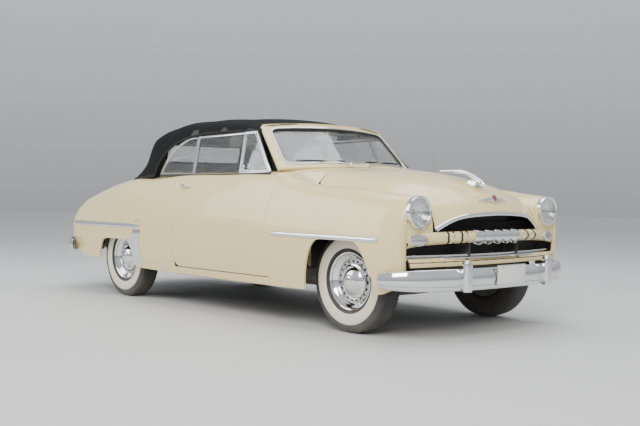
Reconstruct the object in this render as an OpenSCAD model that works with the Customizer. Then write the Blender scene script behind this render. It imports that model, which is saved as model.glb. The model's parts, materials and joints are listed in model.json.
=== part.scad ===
// Two-door family car of the early 1950s with a folding cloth top, shown raised.
// Millimetres. +X is forward, +Y the car's left, +Z up, ground at z = 0.
// Lengthwise places are stations measured from a datum `dat` behind mid-length.

/* [Overall] */
// overall length over the bumpers
body_l = 4803; // [4000:1:5800]
// overall width over the doors
body_w = 1869; // [1550:1:2250]
// height over the raised top
body_h = 1568; // [1300:1:1900]
/* [Chassis] */
// distance between the axles
wheelbase = 2896; // [2400:1:3480]
// distance between the front wheel centres
track_f = 1420; // [1180:1:1500]
// distance between the rear wheel centres
track_r = 1485; // [1240:1:1560]
// outer diameter of the tyre
tyre_d = 706; // [590:1:850]
// width of the tyre section
tyre_w = 170; // [140:1:205]
// outer diameter of the rim where the tyre sits
rim_d = 392; // [325:1:470]
// radius of axle stub and spindle
stub_r = 16; // [13:0.5:20]
// depth of a frame rail
rail_h = 110; // [90:1:132]
/* [Body] */
// thickness of a fender, hood, deck or quarter skin
skin_t = 12; // [8:0.5:16]
// gap between panels that move apart
seam = 8; // [6:0.5:12]
// thickness of the cloth of the top
cloth_t = 7; // [4:0.5:9]
// thickness of the side glass and windshield
glass_t = 6; // [4:0.5:8]
// how far the front bumper's chrome reaches down and up
bumper_h = 144; // [120:1:172]
/* [Cabin] */
// top of the front seat cushion above the ground
seat_z = 700; // [640:1:760]
// top of the front seat back above the ground
back_z = 1060; // [960:1:1120]
// diameter of the steering wheel
wheel_d = 440; // [370:1:500]
/* [Hidden] */
$fn = 64;
dat = 70;
kx = body_l / 4803;
ky = body_w / 1869;
kz = body_h / 1568;
xf = 123.5 * kx + wheelbase / 2 + dat * kx;
xr = xf - wheelbase;
tyre_r = tyre_d / 2;
yf = track_f / 2;
yr = track_r / 2;
king_y = yf - 74;
run = 0.05;
touch = 0.3;

paint = [0.87, 0.84, 0.70];
bright = [0.80, 0.81, 0.83];
dark = [0.13, 0.13, 0.14];
iron = [0.22, 0.22, 0.23];
clear = [0.75, 0.85, 0.88];

// ---- points, rows and curved surfaces ----
// station point to model point
function k3(p) = [(p[0] + dat) * kx, p[1] * ky, p[2] * kz];
function unit(a) = a / max(norm(a), 0.000001);
function mix(a, b, t) = a + (b - a) * t;
// smooth curve through four neighbours
function cr1(a, b, c, d, t) =
  0.5 * (2 * b + (c - a) * t + (2 * a - 5 * b + 4 * c - d) * t * t + (3 * b - a - 3 * c + d) * t * t * t);
function pt(L, i) =
  i < 0 ? 2 * L[0] - L[1] : (i >= len(L) ? 2 * L[len(L) - 1] - L[len(L) - 2] : L[i]);
function crv(L, s) =
  let (i = max(0, min(floor(s), len(L) - 2)), t = s - i)
  cr1(pt(L, i - 1), L[i], L[i + 1], pt(L, i + 2), t);
function net(R, u, v) = crv([for (r = R) crv(r, v)], u);
function grid(R, u0, u1, nu, v0, v1, nv) =
  [for (i = [0:nu]) [for (j = [0:nv]) net(R, mix(u0, u1, i / nu), mix(v0, v1, j / nv))]];
// the same grid moved inwards by t
function offs(G, t) =
  [for (i = [0:len(G) - 1]) [for (j = [0:len(G[0]) - 1])
    let (a = G[min(i + 1, len(G) - 1)][j] - G[max(i - 1, 0)][j],
         b = G[i][min(j + 1, len(G[0]) - 1)] - G[i][max(j - 1, 0)],
         n = unit(cross(a, b))) G[i][j] - t * n]];
function flip_row(r) = [for (j = [len(r) - 1:-1:1]) [r[j][0], -r[j][1], r[j][2]]];
function whole(R) = [for (r = R) concat(flip_row(r), r)];

// a thick panel between an outer grid and an inner grid
module slab(O, I) {
  n = len(O);
  m = len(O[0]);
  s = n * m;
  P = concat([for (r = O) for (p = r) k3(p)], [for (r = I) for (p = r) k3(p)]);
  F = concat(
    [for (i = [0:n - 2]) for (j = [0:m - 2])
      for (f = [[i * m + j, i * m + j + 1, (i + 1) * m + j + 1], [i * m + j, (i + 1) * m + j + 1, (i + 1) * m + j]]) f],
    [for (i = [0:n - 2]) for (j = [0:m - 2])
      for (f = [[s + i * m + j, s + (i + 1) * m + j + 1, s + i * m + j + 1],
                [s + i * m + j, s + (i + 1) * m + j, s + (i + 1) * m + j + 1]]) f],
    [for (j = [0:m - 2]) for (f = [[j + 1, j, s + j], [j + 1, s + j, s + j + 1]]) f],
    [for (j = [0:m - 2]) let (b = (n - 1) * m + j)
      for (f = [[b, b + 1, s + b + 1], [b, s + b + 1, s + b]]) f],
    [for (i = [0:n - 2]) let (a = i * m, b = (i + 1) * m) for (f = [[a, b, s + b], [a, s + b, s + a]]) f],
    [for (i = [0:n - 2]) let (d = i * m + m - 1, c = (i + 1) * m + m - 1)
      for (f = [[c, d, s + d], [c, s + d, s + c]]) f]);
  polyhedron(points = P, faces = F);
}
// a panel of thickness t from a net of rows
module panel(R, u0, u1, nu, v0, v1, nv, t, lift = 0) {
  G = grid(R, u0, u1, nu, v0, v1, nv);
  slab(lift == 0 ? G : offs(G, lift), offs(G, lift + t));
}
// a box between stations
module bx(x0, x1, y0, y1, z0, z1) {
  translate([(x0 + dat) * kx, y0 * ky, z0 * kz]) cube([(x1 - x0) * kx, (y1 - y0) * ky, (z1 - z0) * kz]);
}
module both() {
  children();
  mirror([0, 1, 0]) children();
}
// keeps a whole sub-tree as one closed mesh
module meshed() {
  resize([0, 0, 0]) union() children();
}
// an outline in station and height, run across the car between y0 and y1
module across(P, y0, y1) {
  translate([0, y1 * ky, 0]) rotate([90, 0, 0]) linear_extrude((y1 - y0) * ky)
    polygon([for (p = P) [(p[0] + dat) * kx, p[1] * kz]]);
}
// an outline in half-width and height, run along the car between x0 and x1
module upright(x0, x1, P) {
  translate([(x0 + dat) * kx, 0, 0]) rotate([90, 0, 90]) linear_extrude((x1 - x0) * kx)
    polygon([for (p = P) [p[0] * ky, p[1] * kz]]);
}

// ---- loft stations of the body: station, half-widths, heights of eleven lines ----
// lines: centre, two on the lid, seam, inner, crown, shoulder, upper side, mid side, low side, bottom
ST = [
  [-2180, [0, 185, 370, 520, 598, 672, 742, 805, 864, 860, 828], [868, 865, 857, 846, 866, 870, 844, 760, 625, 495, 360]],
  [-2000, [0, 195, 390, 535, 615, 695, 768, 832, 888, 884, 850], [930, 927, 916, 898, 913, 911, 878, 774, 630, 490, 340]],
  [-1650, [0, 200, 400, 548, 632, 718, 796, 862, 908, 902, 868], [1015, 1011, 999, 982, 998, 992, 944, 820, 640, 480, 315]],
  [-1250, [0, 200, 400, 560, 645, 735, 815, 880, 920, 914, 880], [1072, 1068, 1054, 1040, 1048, 1045, 1000, 852, 650, 480, 292]],
  [-900, [0, 220, 430, 610, 700, 775, 835, 888, 925, 918, 883], [1092, 1090, 1086, 1078, 1066, 1045, 1005, 872, 655, 476, 280]],
  [-390, [0, 240, 460, 650, 750, 800, 842, 892, 931, 921, 885], [1100, 1100, 1098, 1090, 1088, 1070, 1035, 892, 662, 476, 274]],
  [200, [0, 240, 460, 650, 750, 800, 842, 893, 934, 923, 886], [1120, 1118, 1110, 1096, 1092, 1075, 1040, 898, 665, 476, 272]],
  [600, [0, 240, 460, 650, 745, 798, 842, 893, 934, 923, 886], [1150, 1148, 1135, 1105, 1096, 1076, 1040, 898, 665, 476, 272]],
  [860, [0, 225, 440, 610, 735, 792, 838, 887, 931, 921, 885], [1142, 1136, 1120, 1085, 1076, 1058, 1018, 884, 665, 476, 272]],
  [1030, [0, 200, 400, 560, 660, 745, 823, 883, 928, 919, 885], [1135, 1126, 1092, 1000, 1016, 1022, 992, 870, 665, 478, 272]],
  [1300, [0, 200, 400, 560, 640, 725, 815, 882, 928, 919, 885], [1124, 1112, 1062, 968, 982, 994, 962, 850, 665, 480, 276]],
  [1650, [0, 200, 400, 558, 640, 725, 812, 878, 923, 916, 882], [1090, 1078, 1030, 945, 962, 978, 946, 838, 660, 480, 282]],
  [1950, [0, 200, 395, 550, 630, 715, 796, 860, 903, 897, 862], [1022, 1010, 968, 903, 930, 945, 916, 812, 650, 480, 300]]];
function st_i(x) = max([for (i = [0:len(ST) - 2]) if (ST[i][0] <= x || i == 0) i]);
function st_p(i, j) = [ST[i][1][j], ST[i][2][j]];
function st_m(i, j) =
  let (a = max(i - 1, 0), b = min(i + 1, len(ST) - 1)) (st_p(b, j) - st_p(a, j)) / (ST[b][0] - ST[a][0]);
// half-width and height of line j at station x
function st(x, j) =
  let (i = st_i(x), h = ST[i + 1][0] - ST[i][0], t = (x - ST[i][0]) / h, s = t * t, c = s * t)
  (2 * c - 3 * s + 1) * st_p(i, j) + (c - 2 * s + t) * h * st_m(i, j)
  + (3 * s - 2 * c) * st_p(i + 1, j) + (c - s) * h * st_m(i + 1, j);
function row(x, a, b) = [for (j = [a:b]) let (p = st(x, j)) [x, p[0], p[1]]];

// nose of the front fender, from the last station round to the lamp and grille opening
lamp = [2112, 692, 828];
lamp_r = 100;
nose_f = [
  [[2045, 547, 866], [2048, 625, 912], [2045, 706, 938], [2040, 784, 908], [2034, 842, 808], [2030, 880, 648], [2028, 874, 490], [2018, 842, 325]],
  [[2094, 549, 806], [2098, 606, 884], [2098, 690, 934], [2096, 768, 902], [2092, 822, 800], [2086, 852, 645], [2080, 846, 492], [2068, 815, 345]],
  [[2118, 560, 734], [2114, 594, 842], [2112, 674, 927], [2110, 768, 893], [2108, 796, 790], [2106, 815, 650], [2098, 808, 500], [2086, 780, 370]],
  [[2124, 590, 722], [2108, 599, 838], [2106, 678, 920], [2104, 763, 888], [2103, 786, 786], [2102, 788, 655], [2094, 782, 505], [2082, 754, 380]]];
// tail of the quarter panel, from the trunk lid's side edge round to the last station
tail_q = [
  [[-2325, 518, 790], [-2348, 518, 740], [-2360, 519, 690], [-2366, 520, 640], [-2368, 521, 590], [-2366, 522, 530], [-2360, 523, 470], [-2350, 524, 410]],
  [[-2308, 519, 808], [-2318, 590, 806], [-2318, 655, 792], [-2314, 712, 758], [-2310, 758, 700], [-2306, 792, 610], [-2302, 788, 500], [-2290, 764, 395]],
  [[-2254, 520, 832], [-2258, 596, 848], [-2256, 668, 846], [-2252, 736, 816], [-2246, 796, 736], [-2240, 840, 618], [-2236, 836, 496], [-2226, 806, 376]]];
function fender_net() = concat([for (x = [872, 1030, 1165, 1300, 1475, 1650, 1800, 1950]) row(x, 3, 10)], nose_f);
function quarter_net() = concat(tail_q, [for (x = [-2180, -2090, -2000, -1825, -1650, -1450, -1250, -1075, -900, -650, -398]) row(x, 3, 10)]);
function door_net() = [for (x = [-390, -180, 30, 240, 450, 660, 864.5]) row(x, 3, 10)];
// hood: a rear edge that bows forward at the sides, then the nose down to the bright lip
function hood_row(a) = [for (j = [0:3]) let (x = mix(935 + 75 * j * j / 9, 1950, a), p = st(x, j)) [x, p[0], p[1]]];
hood_nose = [
  [[2045, 0, 976], [2043, 198, 964], [2040, 390, 925], [2044, 546, 866]],
  [[2112, 0, 938], [2106, 197, 927], [2098, 388, 886], [2090, 547, 812]],
  [[2162, 0, 896], [2154, 196, 886], [2138, 387, 846], [2112, 549, 762]],
  [[2198, 0, 852], [2188, 196, 843], [2162, 387, 808], [2122, 550, 722]],
  [[2215, 0, 814], [2204, 196, 808], [2172, 387, 784], [2126, 551, 706]]];
function hood_net() = concat([for (a = [0, 0.2, 0.4, 0.6, 0.8, 1]) hood_row(a)], hood_nose);
lid_tail = [
  [[-2372, 0, 590], [-2371, 188, 590], [-2368, 372, 590], [-2362, 520, 590]],
  [[-2368, 0, 655], [-2367, 188, 655], [-2365, 372, 655], [-2360, 520, 655]],
  [[-2350, 0, 730], [-2350, 188, 729], [-2348, 372, 728], [-2344, 520, 728]],
  [[-2315, 0, 792], [-2315, 188, 790], [-2313, 372, 787], [-2308, 519, 782]],
  [[-2262, 0, 834], [-2261, 187, 832], [-2260, 371, 827], [-2258, 520, 818]]];
function lid_net() = concat(lid_tail, [for (x = [-2180, -2090, -2000, -1825, -1650, -1535, -1420]) row(x, 0, 3)]);
function cowl_row(a) = [for (j = [0:3]) let (x = mix(655, 935 + 75 * j * j / 9 - seam, a), p = st(x, j)) [x, p[0], p[1]]];

// the raised top, from its base round the deck to the header
top_rows = [
  [[-1398, 0, 1068], [-1398, 230, 1061], [-1397, 430, 1046], [-1394, 580, 1039], [-1380, 690, 1051], [-893, 776, 1074]],
  [[-1290, 0, 1285], [-1286, 225, 1280], [-1272, 425, 1264], [-1248, 580, 1232], [-1190, 672, 1180], [-890, 758, 1128]],
  [[-1165, 0, 1494], [-1160, 225, 1488], [-1150, 425, 1468], [-1130, 590, 1412], [-1050, 668, 1335], [-862, 732, 1212]],
  [[-720, 0, 1562], [-720, 225, 1558], [-718, 430, 1547], [-712, 580, 1508], [-700, 648, 1440], [-660, 686, 1362]],
  [[-250, 0, 1566], [-250, 225, 1562], [-250, 430, 1551], [-250, 580, 1518], [-250, 646, 1470], [-250, 670, 1422]],
  [[150, 0, 1552], [150, 225, 1547], [150, 430, 1530], [150, 578, 1498], [150, 642, 1462], [150, 664, 1424]],
  [[510, 0, 1494], [503, 215, 1490], [484, 415, 1479], [458, 562, 1463], [440, 632, 1446], [436, 655, 1424]]];
// windshield surface: s runs across, w runs up
function ws(s, w) = mix([835 - 110 * s * s, 700 * s, 1160 - 24 * s * s], [520 - 80 * s * s, 636 * s, 1474 - 28 * s * s], w);
module ws_panel(s0, s1, n, w0, w1, m, t, lift = 0) {
  G = [for (i = [0:n]) [for (j = [0:m]) ws(mix(s0, s1, i / n), mix(w0, w1, j / m))]];
  slab(lift == 0 ? G : offs(G, lift), offs(G, lift + t));
}
// side glass plane: half-width falls with height
function glass_y(z) = 790 - (z - 1085) * 0.364;
// a pane with outline P in station and height, thickness t
module pane(P, t) {
  n = len(P);
  pts = concat([for (p = P) k3([p[0], glass_y(p[1]) + t / 2, p[1]])], [for (p = P) k3([p[0], glass_y(p[1]) - t / 2, p[1]])]);
  polyhedron(points = pts, faces = concat([[for (i = [0:n - 1]) i]], [[for (i = [n - 1:-1:0]) n + i]],
    [for (i = [0:n - 1]) [i, n + i, n + (i + 1) % n, (i + 1) % n]]));
}

// wheel openings in the body sides, tied to the axles and tyre
module front_arch() {
  s = tyre_r / 353;
  translate([xf, 0, 0]) rotate([90, 0, 0]) linear_extrude(4000, center = true)
    polygon([[-352 * s, 150], [-344 * s, 300], [-300 * s, 470], [-225 * s, 612], [-150 * s, 640], [150 * s, 640],
      [225 * s, 612], [300 * s, 470], [344 * s, 300], [352 * s, 150]]);
}
module rear_arch() {
  s = tyre_r / 353;
  translate([xr, 0, 0]) rotate([90, 0, 0]) linear_extrude(4000, center = true)
    polygon([[-400 * s, 150], [-358 * s, 330], [-310 * s, 430], [-245 * s, 500], [-170 * s, 520], [165 * s, 520],
      [225 * s, 496], [270 * s, 420], [292 * s, 330], [330 * s, 150]]);
}

// ---- body ----
module fender_shape() {
  meshed() difference() {
    panel(fender_net(), 0, 11, 24, 0.0035, 7, 14, skin_t);
    front_arch();
    bx(800, 872, 400, 1000, 200, 1200);
  }
}
module fender_left() color(paint) fender_shape();
module fender_right() color(paint) mirror([0, 1, 0]) fender_shape();

module quarter_shape() {
  meshed() {
    difference() {
      panel(quarter_net(), 0, 13, 26, 0.0035, 7, 14, skin_t);
      rear_arch();
      bx(-398, -300, 500, 1000, 200, 1200);
    }
    // lock pillar and inner trim wall beside the rear seat
    bx(-446, -398, 700, 868, 415.3, 1030);
    bx(-886, -402, 700, 712, 415.3, 1068);
    // closing wall ahead of the wheel house
    upright(-884, -874, [[702, 418], [900, 418], [912, 476], [918, 655], [881, 872], [828, 1003], [771, 1038], [702, 1040]]);
  }
}
module quarter_left() color(paint) quarter_shape();
module quarter_right() color(paint) mirror([0, 1, 0]) quarter_shape();

module sills() color(paint) both() meshed() {
  G = [for (x = [-397.5, -80, 240, 555, 871.5]) let (a = st(x, 9), b = st(x, 10))
    [for (w = [0.745, 0.87, 1]) [x, mix(a[0], b[0], w), mix(a[1], b[1], w)]]];
  I = [for (r = G) [for (p = r) [p[0], 770, p[2]]]];
  slab(G, I);
}

module hood() color(paint) panel(whole(hood_net()), 0, 10, 17, 0.05, 5.95, 12, skin_t);
module trunk_lid() color(paint) panel(whole(lid_net()), 0, 10.9, 17, 0.06, 5.94, 10, skin_t);

// top surface of the cowl, thickness t, moved out by a negative lift
module cowl_top(t, lift = 0, v0 = 0.006) {
  panel(whole([for (a = [0, 0.5, 1]) cowl_row(a)]), 0, 2, 5, 0.002, 5.998, 14, t, lift);
  both() panel([for (x = [655, 763, 871]) row(x, 3, 5)], 0, 2, 4, v0, 0.9, 3, t, lift);
}
module cowl() color(paint) meshed() {
  cowl_top(skin_t);
  both() {
    // cowl side and hinge pillar
    across([[655, 415.3], [1075, 415.3], [1075, 975], [925, 993], [868, 1049], [868, 1069], [659, 1088]], 690, 703.5);
    bx(871.7, 921, 698, 800, 421, 952);
  }
  // firewall in two steps, with a shelf between them
  upright(917.5, 929.5, [[-696, 851], [696, 851], [696, 985], [590, 1000], [560, 1020], [380, 1109], [215, 1126], [0, 1132],
    [-215, 1126], [-380, 1109], [-560, 1020], [-590, 1000], [-696, 985]]);
  bx(920, 1069, -700, 700, 846, 858);
  bx(1062.4, 1072.4, -695, 695, 420, 853);
}

module floor_pan() color(dark) meshed() {
  difference() {
    bx(-930, 1075, -769, 769, 400, 415);
    bx(1000, 1100, 703, 800, 390, 430);
  }
  // gearbox and shaft tunnel
  across([[-930, 415], [-930, 520], [300, 520], [760, 640], [1062, 700], [1062, 415]], -150, 150);
  // heel board and raised rear floor over the axle
  bx(-942, -930, -640, 640, 400, 620);
  bx(-1652, -930, -640, 640, 608, 620);
  // trunk floor
  bx(-1652, -1640, -640, 640, 470.3, 620);
  bx(-2290, -1640, -500, 500, 470.3, 482.3);
  // rear wheel houses
  both() difference() {
    translate([xr, 866 * ky, 0]) rotate([90, 0, 0]) translate([0, tyre_r, 0]) cylinder(r = tyre_r + 82, h = 238 * ky);
    translate([xr, 881 * ky, 0]) rotate([90, 0, 0]) translate([0, tyre_r, 0]) cylinder(r = tyre_r + 70, h = 241 * ky);
    translate([xr - 600, 600 * ky, -300]) cube([1200, 400, 700]);
    translate([xr - 600, 650 * ky, -300]) cube([1200, 400, 860]);
  }
}

module deck_panel() color(paint) meshed() {
  // strip between the top's base and the trunk lid
  panel(whole([for (x = [-1412, -1330, -1250]) row(x, 0, 3)]), 0, 2, 4, 0.002, 5.998, 14, skin_t);
  // panel below the trunk lid
  G = [for (k = [2:-1:-2]) [for (z = [582, 495, 410]) [-2372 + 2 * k * k, k / 2 * (520.9 + (582 - z) * 0.0145), z]]];
  difference() {
    slab(G, offs(G, skin_t));
    both() panel(quarter_net(), 0, 13, 26, 0.0035, 7, 14, skin_t, -touch);
    both() panel(quarter_net(), 0, 13, 26, 0.0035, 7, 14, skin_t);
  }
}

// ---- doors ----
function door_in_y(z) = z < 900 ? 808 : mix(808, 744, (z - 900) / 190);
module door_shape() {
  O = grid(door_net(), 0, 6, 16, 1.15, 7, 14);
  I = [for (r = O) [for (p = r) [p[0] + (p[0] < -100 ? 24 * (-100 - p[0]) / 290 : 0), door_in_y(p[2]), p[2]]]];
  meshed() difference() {
    slab(O, I);
    bx(-600, 1000, 600, 1100, 100, 335);
  }
}
module door_left() color(paint) door_shape();
module door_right() color(paint) mirror([0, 1, 0]) door_shape();

vent = [[695, 1107], [418, 1412], [262, 1412], [345, 1096]];
dglass = [[345, 1094], [262, 1412], [-372, 1410], [-268, 1087]];
module door_glass_shape() {
  meshed() difference() {
    union() {
      difference() {
        pane([[741, 1060], [423, 1408], [-367, 1396], [-261, 1060]], 16);
        pane([[660, 1122], [410, 1392], [276, 1390], [350, 1112]], 60);
        pane([[330, 1112], [254, 1390], [-345, 1380], [-255, 1110]], 60);
      }
      pane([[684, 1110], [418, 1400], [-358, 1388], [-262, 1100]], glass_t);
    }
    panel(door_net(), 0, 6, 16, 1.0, 7, 14, 60, -1);
  }
}
module door_glass_left() color(clear) door_glass_shape();
module door_glass_right() color(clear) mirror([0, 1, 0]) door_glass_shape();

module quarter_glass() color(clear) both() meshed() difference() {
  Q = [[-282, 1060], [-388, 1392], [-560, 1372], [-676, 1314], [-752, 1222], [-782, 1060]];
  q = [[-300, 1112], [-382, 1376], [-556, 1356], [-664, 1304], [-736, 1216], [-760, 1106]];
  union() {
    difference() {
      pane(Q, 14);
      pane([for (i = [0:5]) mix(q[i], [-530, 1230], 0.04)], 60);
    }
    pane([for (i = [0:5]) mix(q[i], [-530, 1230], -0.02)], glass_t);
  }
  panel(quarter_net(), 0, 13, 26, 0.0035, 7, 14, 60, -touch);
  panel(door_net(), 0, 6, 16, 1.0, 7, 14, 60, -6);
}

module windshield_frame() color(paint) meshed() difference() {
  ws_panel(-1.02, 1.02, 16, -0.12, 1.04, 8, 28);
  ws_panel(-0.945, 0.945, 14, 0.03, 0.955, 7, 90, -30);
  cowl_top(90, -touch, -0.03);
}
module windshield_glass() color(clear) ws_panel(-0.9435, 0.9435, 16, 0.032, 0.953, 6, glass_t, 10);

// ---- cloth top ----
module soft_top() color(dark) meshed() difference() {
  top_skin(cloth_t, 0);
  rear_window_hole(0);
  ws_panel(-1.04, 1.04, 16, 0.9, 1.041, 2, 28.8, -0.4);
}
// a layer of the top, thickness t, at depth lift under the cloth's face
module top_skin(t, lift) {
  panel(whole(top_rows), 0, 6, 18, 0, 10, 20, t, lift);
}
// opening for the rear window, looking along the car
module rear_window_hole(g) {
  translate([(-1400 + dat) * kx, 0, 1292 * kz]) rotate([90, 0, 90]) linear_extrude(540 * kx) offset(40)
    square([(760 + 2 * g) * ky, (125 + 2 * g) * kz], center = true);
}
module rear_window() color(clear) meshed() intersection() {
  top_skin(3, cloth_t + touch);
  rear_window_hole(18);
}
module top_bows() color(iron) meshed() intersection() {
  difference() {
    top_skin(16, cloth_t + touch);
    ws_panel(-1.06, 1.06, 16, 0.85, 1.06, 2, 60, -20);
  }
  union() {
    for (x = [130, -270, -700, -1140]) bx(x, x + 38, -760, 760, 1180, 1600);
    bx(355, 400, -760, 760, 1180, 1600);
    both() bx(-700, 400, 640, 700, 1300, 1470);
  }
}

// ---- bright parts ----
// plan of a bumper bar: half-width to station
front_bar = [[0, 2314], [250, 2306], [470, 2280], [660, 2228], [800, 2162], [890, 2074], [930, 1990]];
rear_bar = [[0, -2454], [250, -2449], [470, -2434], [660, -2398], [800, -2338], [890, -2242], [922, -2120]];
function bar_pt(B, s, z, d) = let (p = crv(B, abs(s))) [p[1] + d, (s < 0 ? -1 : 1) * p[0], z];
// plate bracket: two bolt holes a standard spacing apart
module plate_bar(x, z) {
  translate([(x + dat) * kx, 0, z * kz]) rotate([0, 90, 0]) difference() {
    translate([-17, -110, 0]) cube([34, 220, 3]);
    for (y = [-89, 89]) translate([0, y, -1]) cylinder(r = 3.5, h = 5);
  }
}
module front_bumper() color(bright) {
  front_blade();
  plate_bar(2324 + touch, 402);
}
module front_blade() meshed() {
  z0 = 395 - bumper_h / 2;
  z1 = 395 + bumper_h / 2;
  G = [for (i = [0:24]) let (s = -6 + i / 2, e = 26 * pow(abs(s) / 6, 4)) [bar_pt(front_bar, s, z1 - e, -10), bar_pt(front_bar, s, mix(z1, z0, 0.3), 8),
    bar_pt(front_bar, s, mix(z1, z0, 0.7), 10), bar_pt(front_bar, s, z0 + e, -8)]];
  slab([for (i = [0:24]) G[24 - i]], offs([for (i = [0:24]) G[24 - i]], 14));
  both() {
    // guard and the bracket to the frame
    bx(2270, 2331, 405, 460, 318, 560);
    bx(2062.3, 2293, 340, 380, 352, 392);
  }
}
module rear_bumper() color(bright) {
  rear_blade();
  plate_bar(-2462 - touch - 3, 430);
}
module rear_blade() meshed() {
  z0 = 428 - bumper_h / 2;
  z1 = 428 + bumper_h / 2;
  G = [for (i = [0:24]) let (s = -6 + i / 2, e = 26 * pow(abs(s) / 6, 4)) [bar_pt(rear_bar, s, z1 - e, 10), bar_pt(rear_bar, s, mix(z1, z0, 0.3), -6),
    bar_pt(rear_bar, s, mix(z1, z0, 0.7), -8), bar_pt(rear_bar, s, z0 + e, 8)]];
  slab(G, offs(G, 14));
  both() {
    bx(-2471.5, -2425, 405, 460, 340, 560);
    bx(-2436, -2240.3, 448, 500, 384, 406);
  }
}
grille_bar = [[0, 2224], [200, 2214], [400, 2188], [580, 2150], [700, 2126], [776, 2112]];
module grille() color(bright) meshed() {
  // body-coloured bar
  G = [for (i = [0:20]) let (s = -5 + i / 2, c = 667 - 28 * pow(s / 5, 2), h = 38 + 6 * pow(s / 5, 2)) [bar_pt(grille_bar, s, c + h, -26), bar_pt(grille_bar, s, c + 0.8 * h, -8),
    bar_pt(grille_bar, s, c, 0), bar_pt(grille_bar, s, c - 0.8 * h, -8), bar_pt(grille_bar, s, c - h, -26)]];
  slab([for (i = [0:20]) G[20 - i]], offs([for (i = [0:20]) G[20 - i]], 14));
  // lower bright bar
  H = [for (i = [0:20]) let (s = -5 + i / 2) [bar_pt(grille_bar, s, 560, -52), bar_pt(grille_bar, s, 550, -44), bar_pt(grille_bar, s, 536, -48)]];
  slab([for (i = [0:20]) H[20 - i]], offs([for (i = [0:20]) H[20 - i]], 16));
  // stays back to the radiator support
  both() bx(2034.3, 2180, 250, 262, 540, 700);
}
module headlights() color(clear) both() meshed() difference() {
  translate(k3([1995, 692, 828])) rotate([0, 90, 0]) {
    cylinder(r = 78 * kz, h = 142 * kx);
    translate([0, 0, 112 * kx]) cylinder(r = 106 * kz, h = 30 * kx);
  }
  panel(fender_net(), 0, 11, 24, -0.01, 7.01, 14, skin_t + 2, -1);
  panel(fender_net(), 0, 11.1, 24, 0.0035, 7, 14, skin_t + 1, -0.6);
}
module tail_lights() color([0.6, 0.05, 0.05]) both() meshed() difference() {
  translate(k3([-2376, 668, 655])) rotate([0, 90, 0]) cylinder(r = 44 * kz, h = 40 * kx);
  panel(quarter_net(), 0, 13, 26, 0.0035, 7, 14, skin_t + 60, -touch);
}

// ---- chassis ----
module chassis_frame() color(iron) {
  b = 399.7 - rail_h;
  both() {
    across([[2062, 345], [2062, 399.7], [1050, 399.7], [1050, b], [1800, b], [1900, 330]], 322, 398);
    across([[1055, 399.7], [-945, 399.7], [-975, b], [1055, b]], 440, 510);
    across([[1110, 399.7], [1050, b], [980, b], [980, 399.7]], 340, 510);
    across([[-945, 399.7], [-1060, 560], [-1500, 560], [-1640, 470], [-2240, 470], [-2240, 380],
      [-1660, 380], [-1530, 470], [-1090, 470], [-975, b], [-940, b]], 440, 510);
  }
  bx(1990, 2050, -330, 330, 320, 395);
  bx(560, 640, -445, 445, b, 318);
  bx(-420, -340, -445, 445, b, 318);
  bx(-1700, -1640, -445, 445, 400, 465);
  bx(-2230, -2180, -445, 445, 390, 465);
}
module front_structure() color(dark) meshed() {
  // radiator support, core and inner aprons
  bx(1960, 1972, -560, 560, 420, 850);
  bx(1972, 2034, -330, 330, 430, 820);
  both() {
    across([[1085, 420], [1470, 420], [1490, 490], [1655, 490], [1675, 420], [1972, 420], [1972, 850], [1085, 905]], 428, 440);
    bx(1960, 1972, 560, 776, 560, 800);
    bx(1880, 1965, 330, 440, 400, 430);
  }
  bx(1880, 1965, -330, 330, 420, 432);
  // body-coloured pan under the grille
  G = [for (i = [0:16]) let (y = 776 - i * 97, b = 70 * pow(y / 790, 2)) [[2166 - b, y, 530], [2184 - b, y, 504], [2188 - b, y, 476]]];
  slab(G, offs(G, 10));
  both() bx(1965, 2174, 270, 282, 480, 525);
}
module engine() color(iron) {
  bx(1130, 1850, -170, 170, 330, 830);
  bx(760, 1130, -120, 120, 300, 398);
}
module front_suspension() color(iron) {
  b = 399.4 - rail_h;
  translate([xf - 60, -540, b - 54]) cube([120, 1080, 54]);
  both() difference() {
    union() {
      translate([xf - 35, 420, b - 54]) cube([70, king_y - 420, 24]);
      translate([xf, king_y, b - 54]) cylinder(r = 24, h = 24);
      translate([xf - 30, 398.3 * ky, 452]) cube([60, king_y - 398.3 * ky, 20]);
      translate([xf, king_y, 452]) cylinder(r = 24, h = 20);
      translate([xf - 35, 398.3 * ky, b - 54]) cube([70, 28, 526 - b]);
    }
    translate([xf, king_y, 100]) cylinder(r = 14 + run, h = 500);
  }
}
module knuckle_shape() {
  b = 399.4 - rail_h;
  translate([xf, king_y, b - 60]) cylinder(r = 14, h = 542 - b);
  translate([xf, king_y, b - 29]) cylinder(r = 20, h = 480 - b);
  translate([xf, king_y, tyre_r]) rotate([-90, 0, 0]) cylinder(r = stub_r, h = 104);
}
module knuckle_left() color(iron) knuckle_shape();
module knuckle_right() color(iron) mirror([0, 1, 0]) knuckle_shape();
module rear_axle() color(iron) {
  translate([xr, 0, tyre_r]) rotate([90, 0, 0]) {
    cylinder(r = 38, h = 2 * (yr - 66), center = true);
    cylinder(r = stub_r + 4, h = 2 * (yr + 26), center = true);
  }
  translate([xr, 0, tyre_r]) sphere(r = 118);
  // shaft to the gearbox
  translate([xr + 90, 0, tyre_r]) rotate([0, 90, 0]) cylinder(r = 32, h = (759.7 + dat) * kx - xr - 90);
  // leaf springs hung under the rails
  both() {
    translate([xr - 640, 448 * ky, 263]) cube([1240, 54, 22]);
    translate([xr - 60, 444 * ky, 280]) cube([120, 62, tyre_r - 285]);
    translate([xr - 640, 455 * ky, 280]) cube([20, 40, 379.7 * kz - 280]);
    translate([xr + 560, 455 * ky, 280]) cube([30, 40, 9.4]);
  }
}
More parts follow.
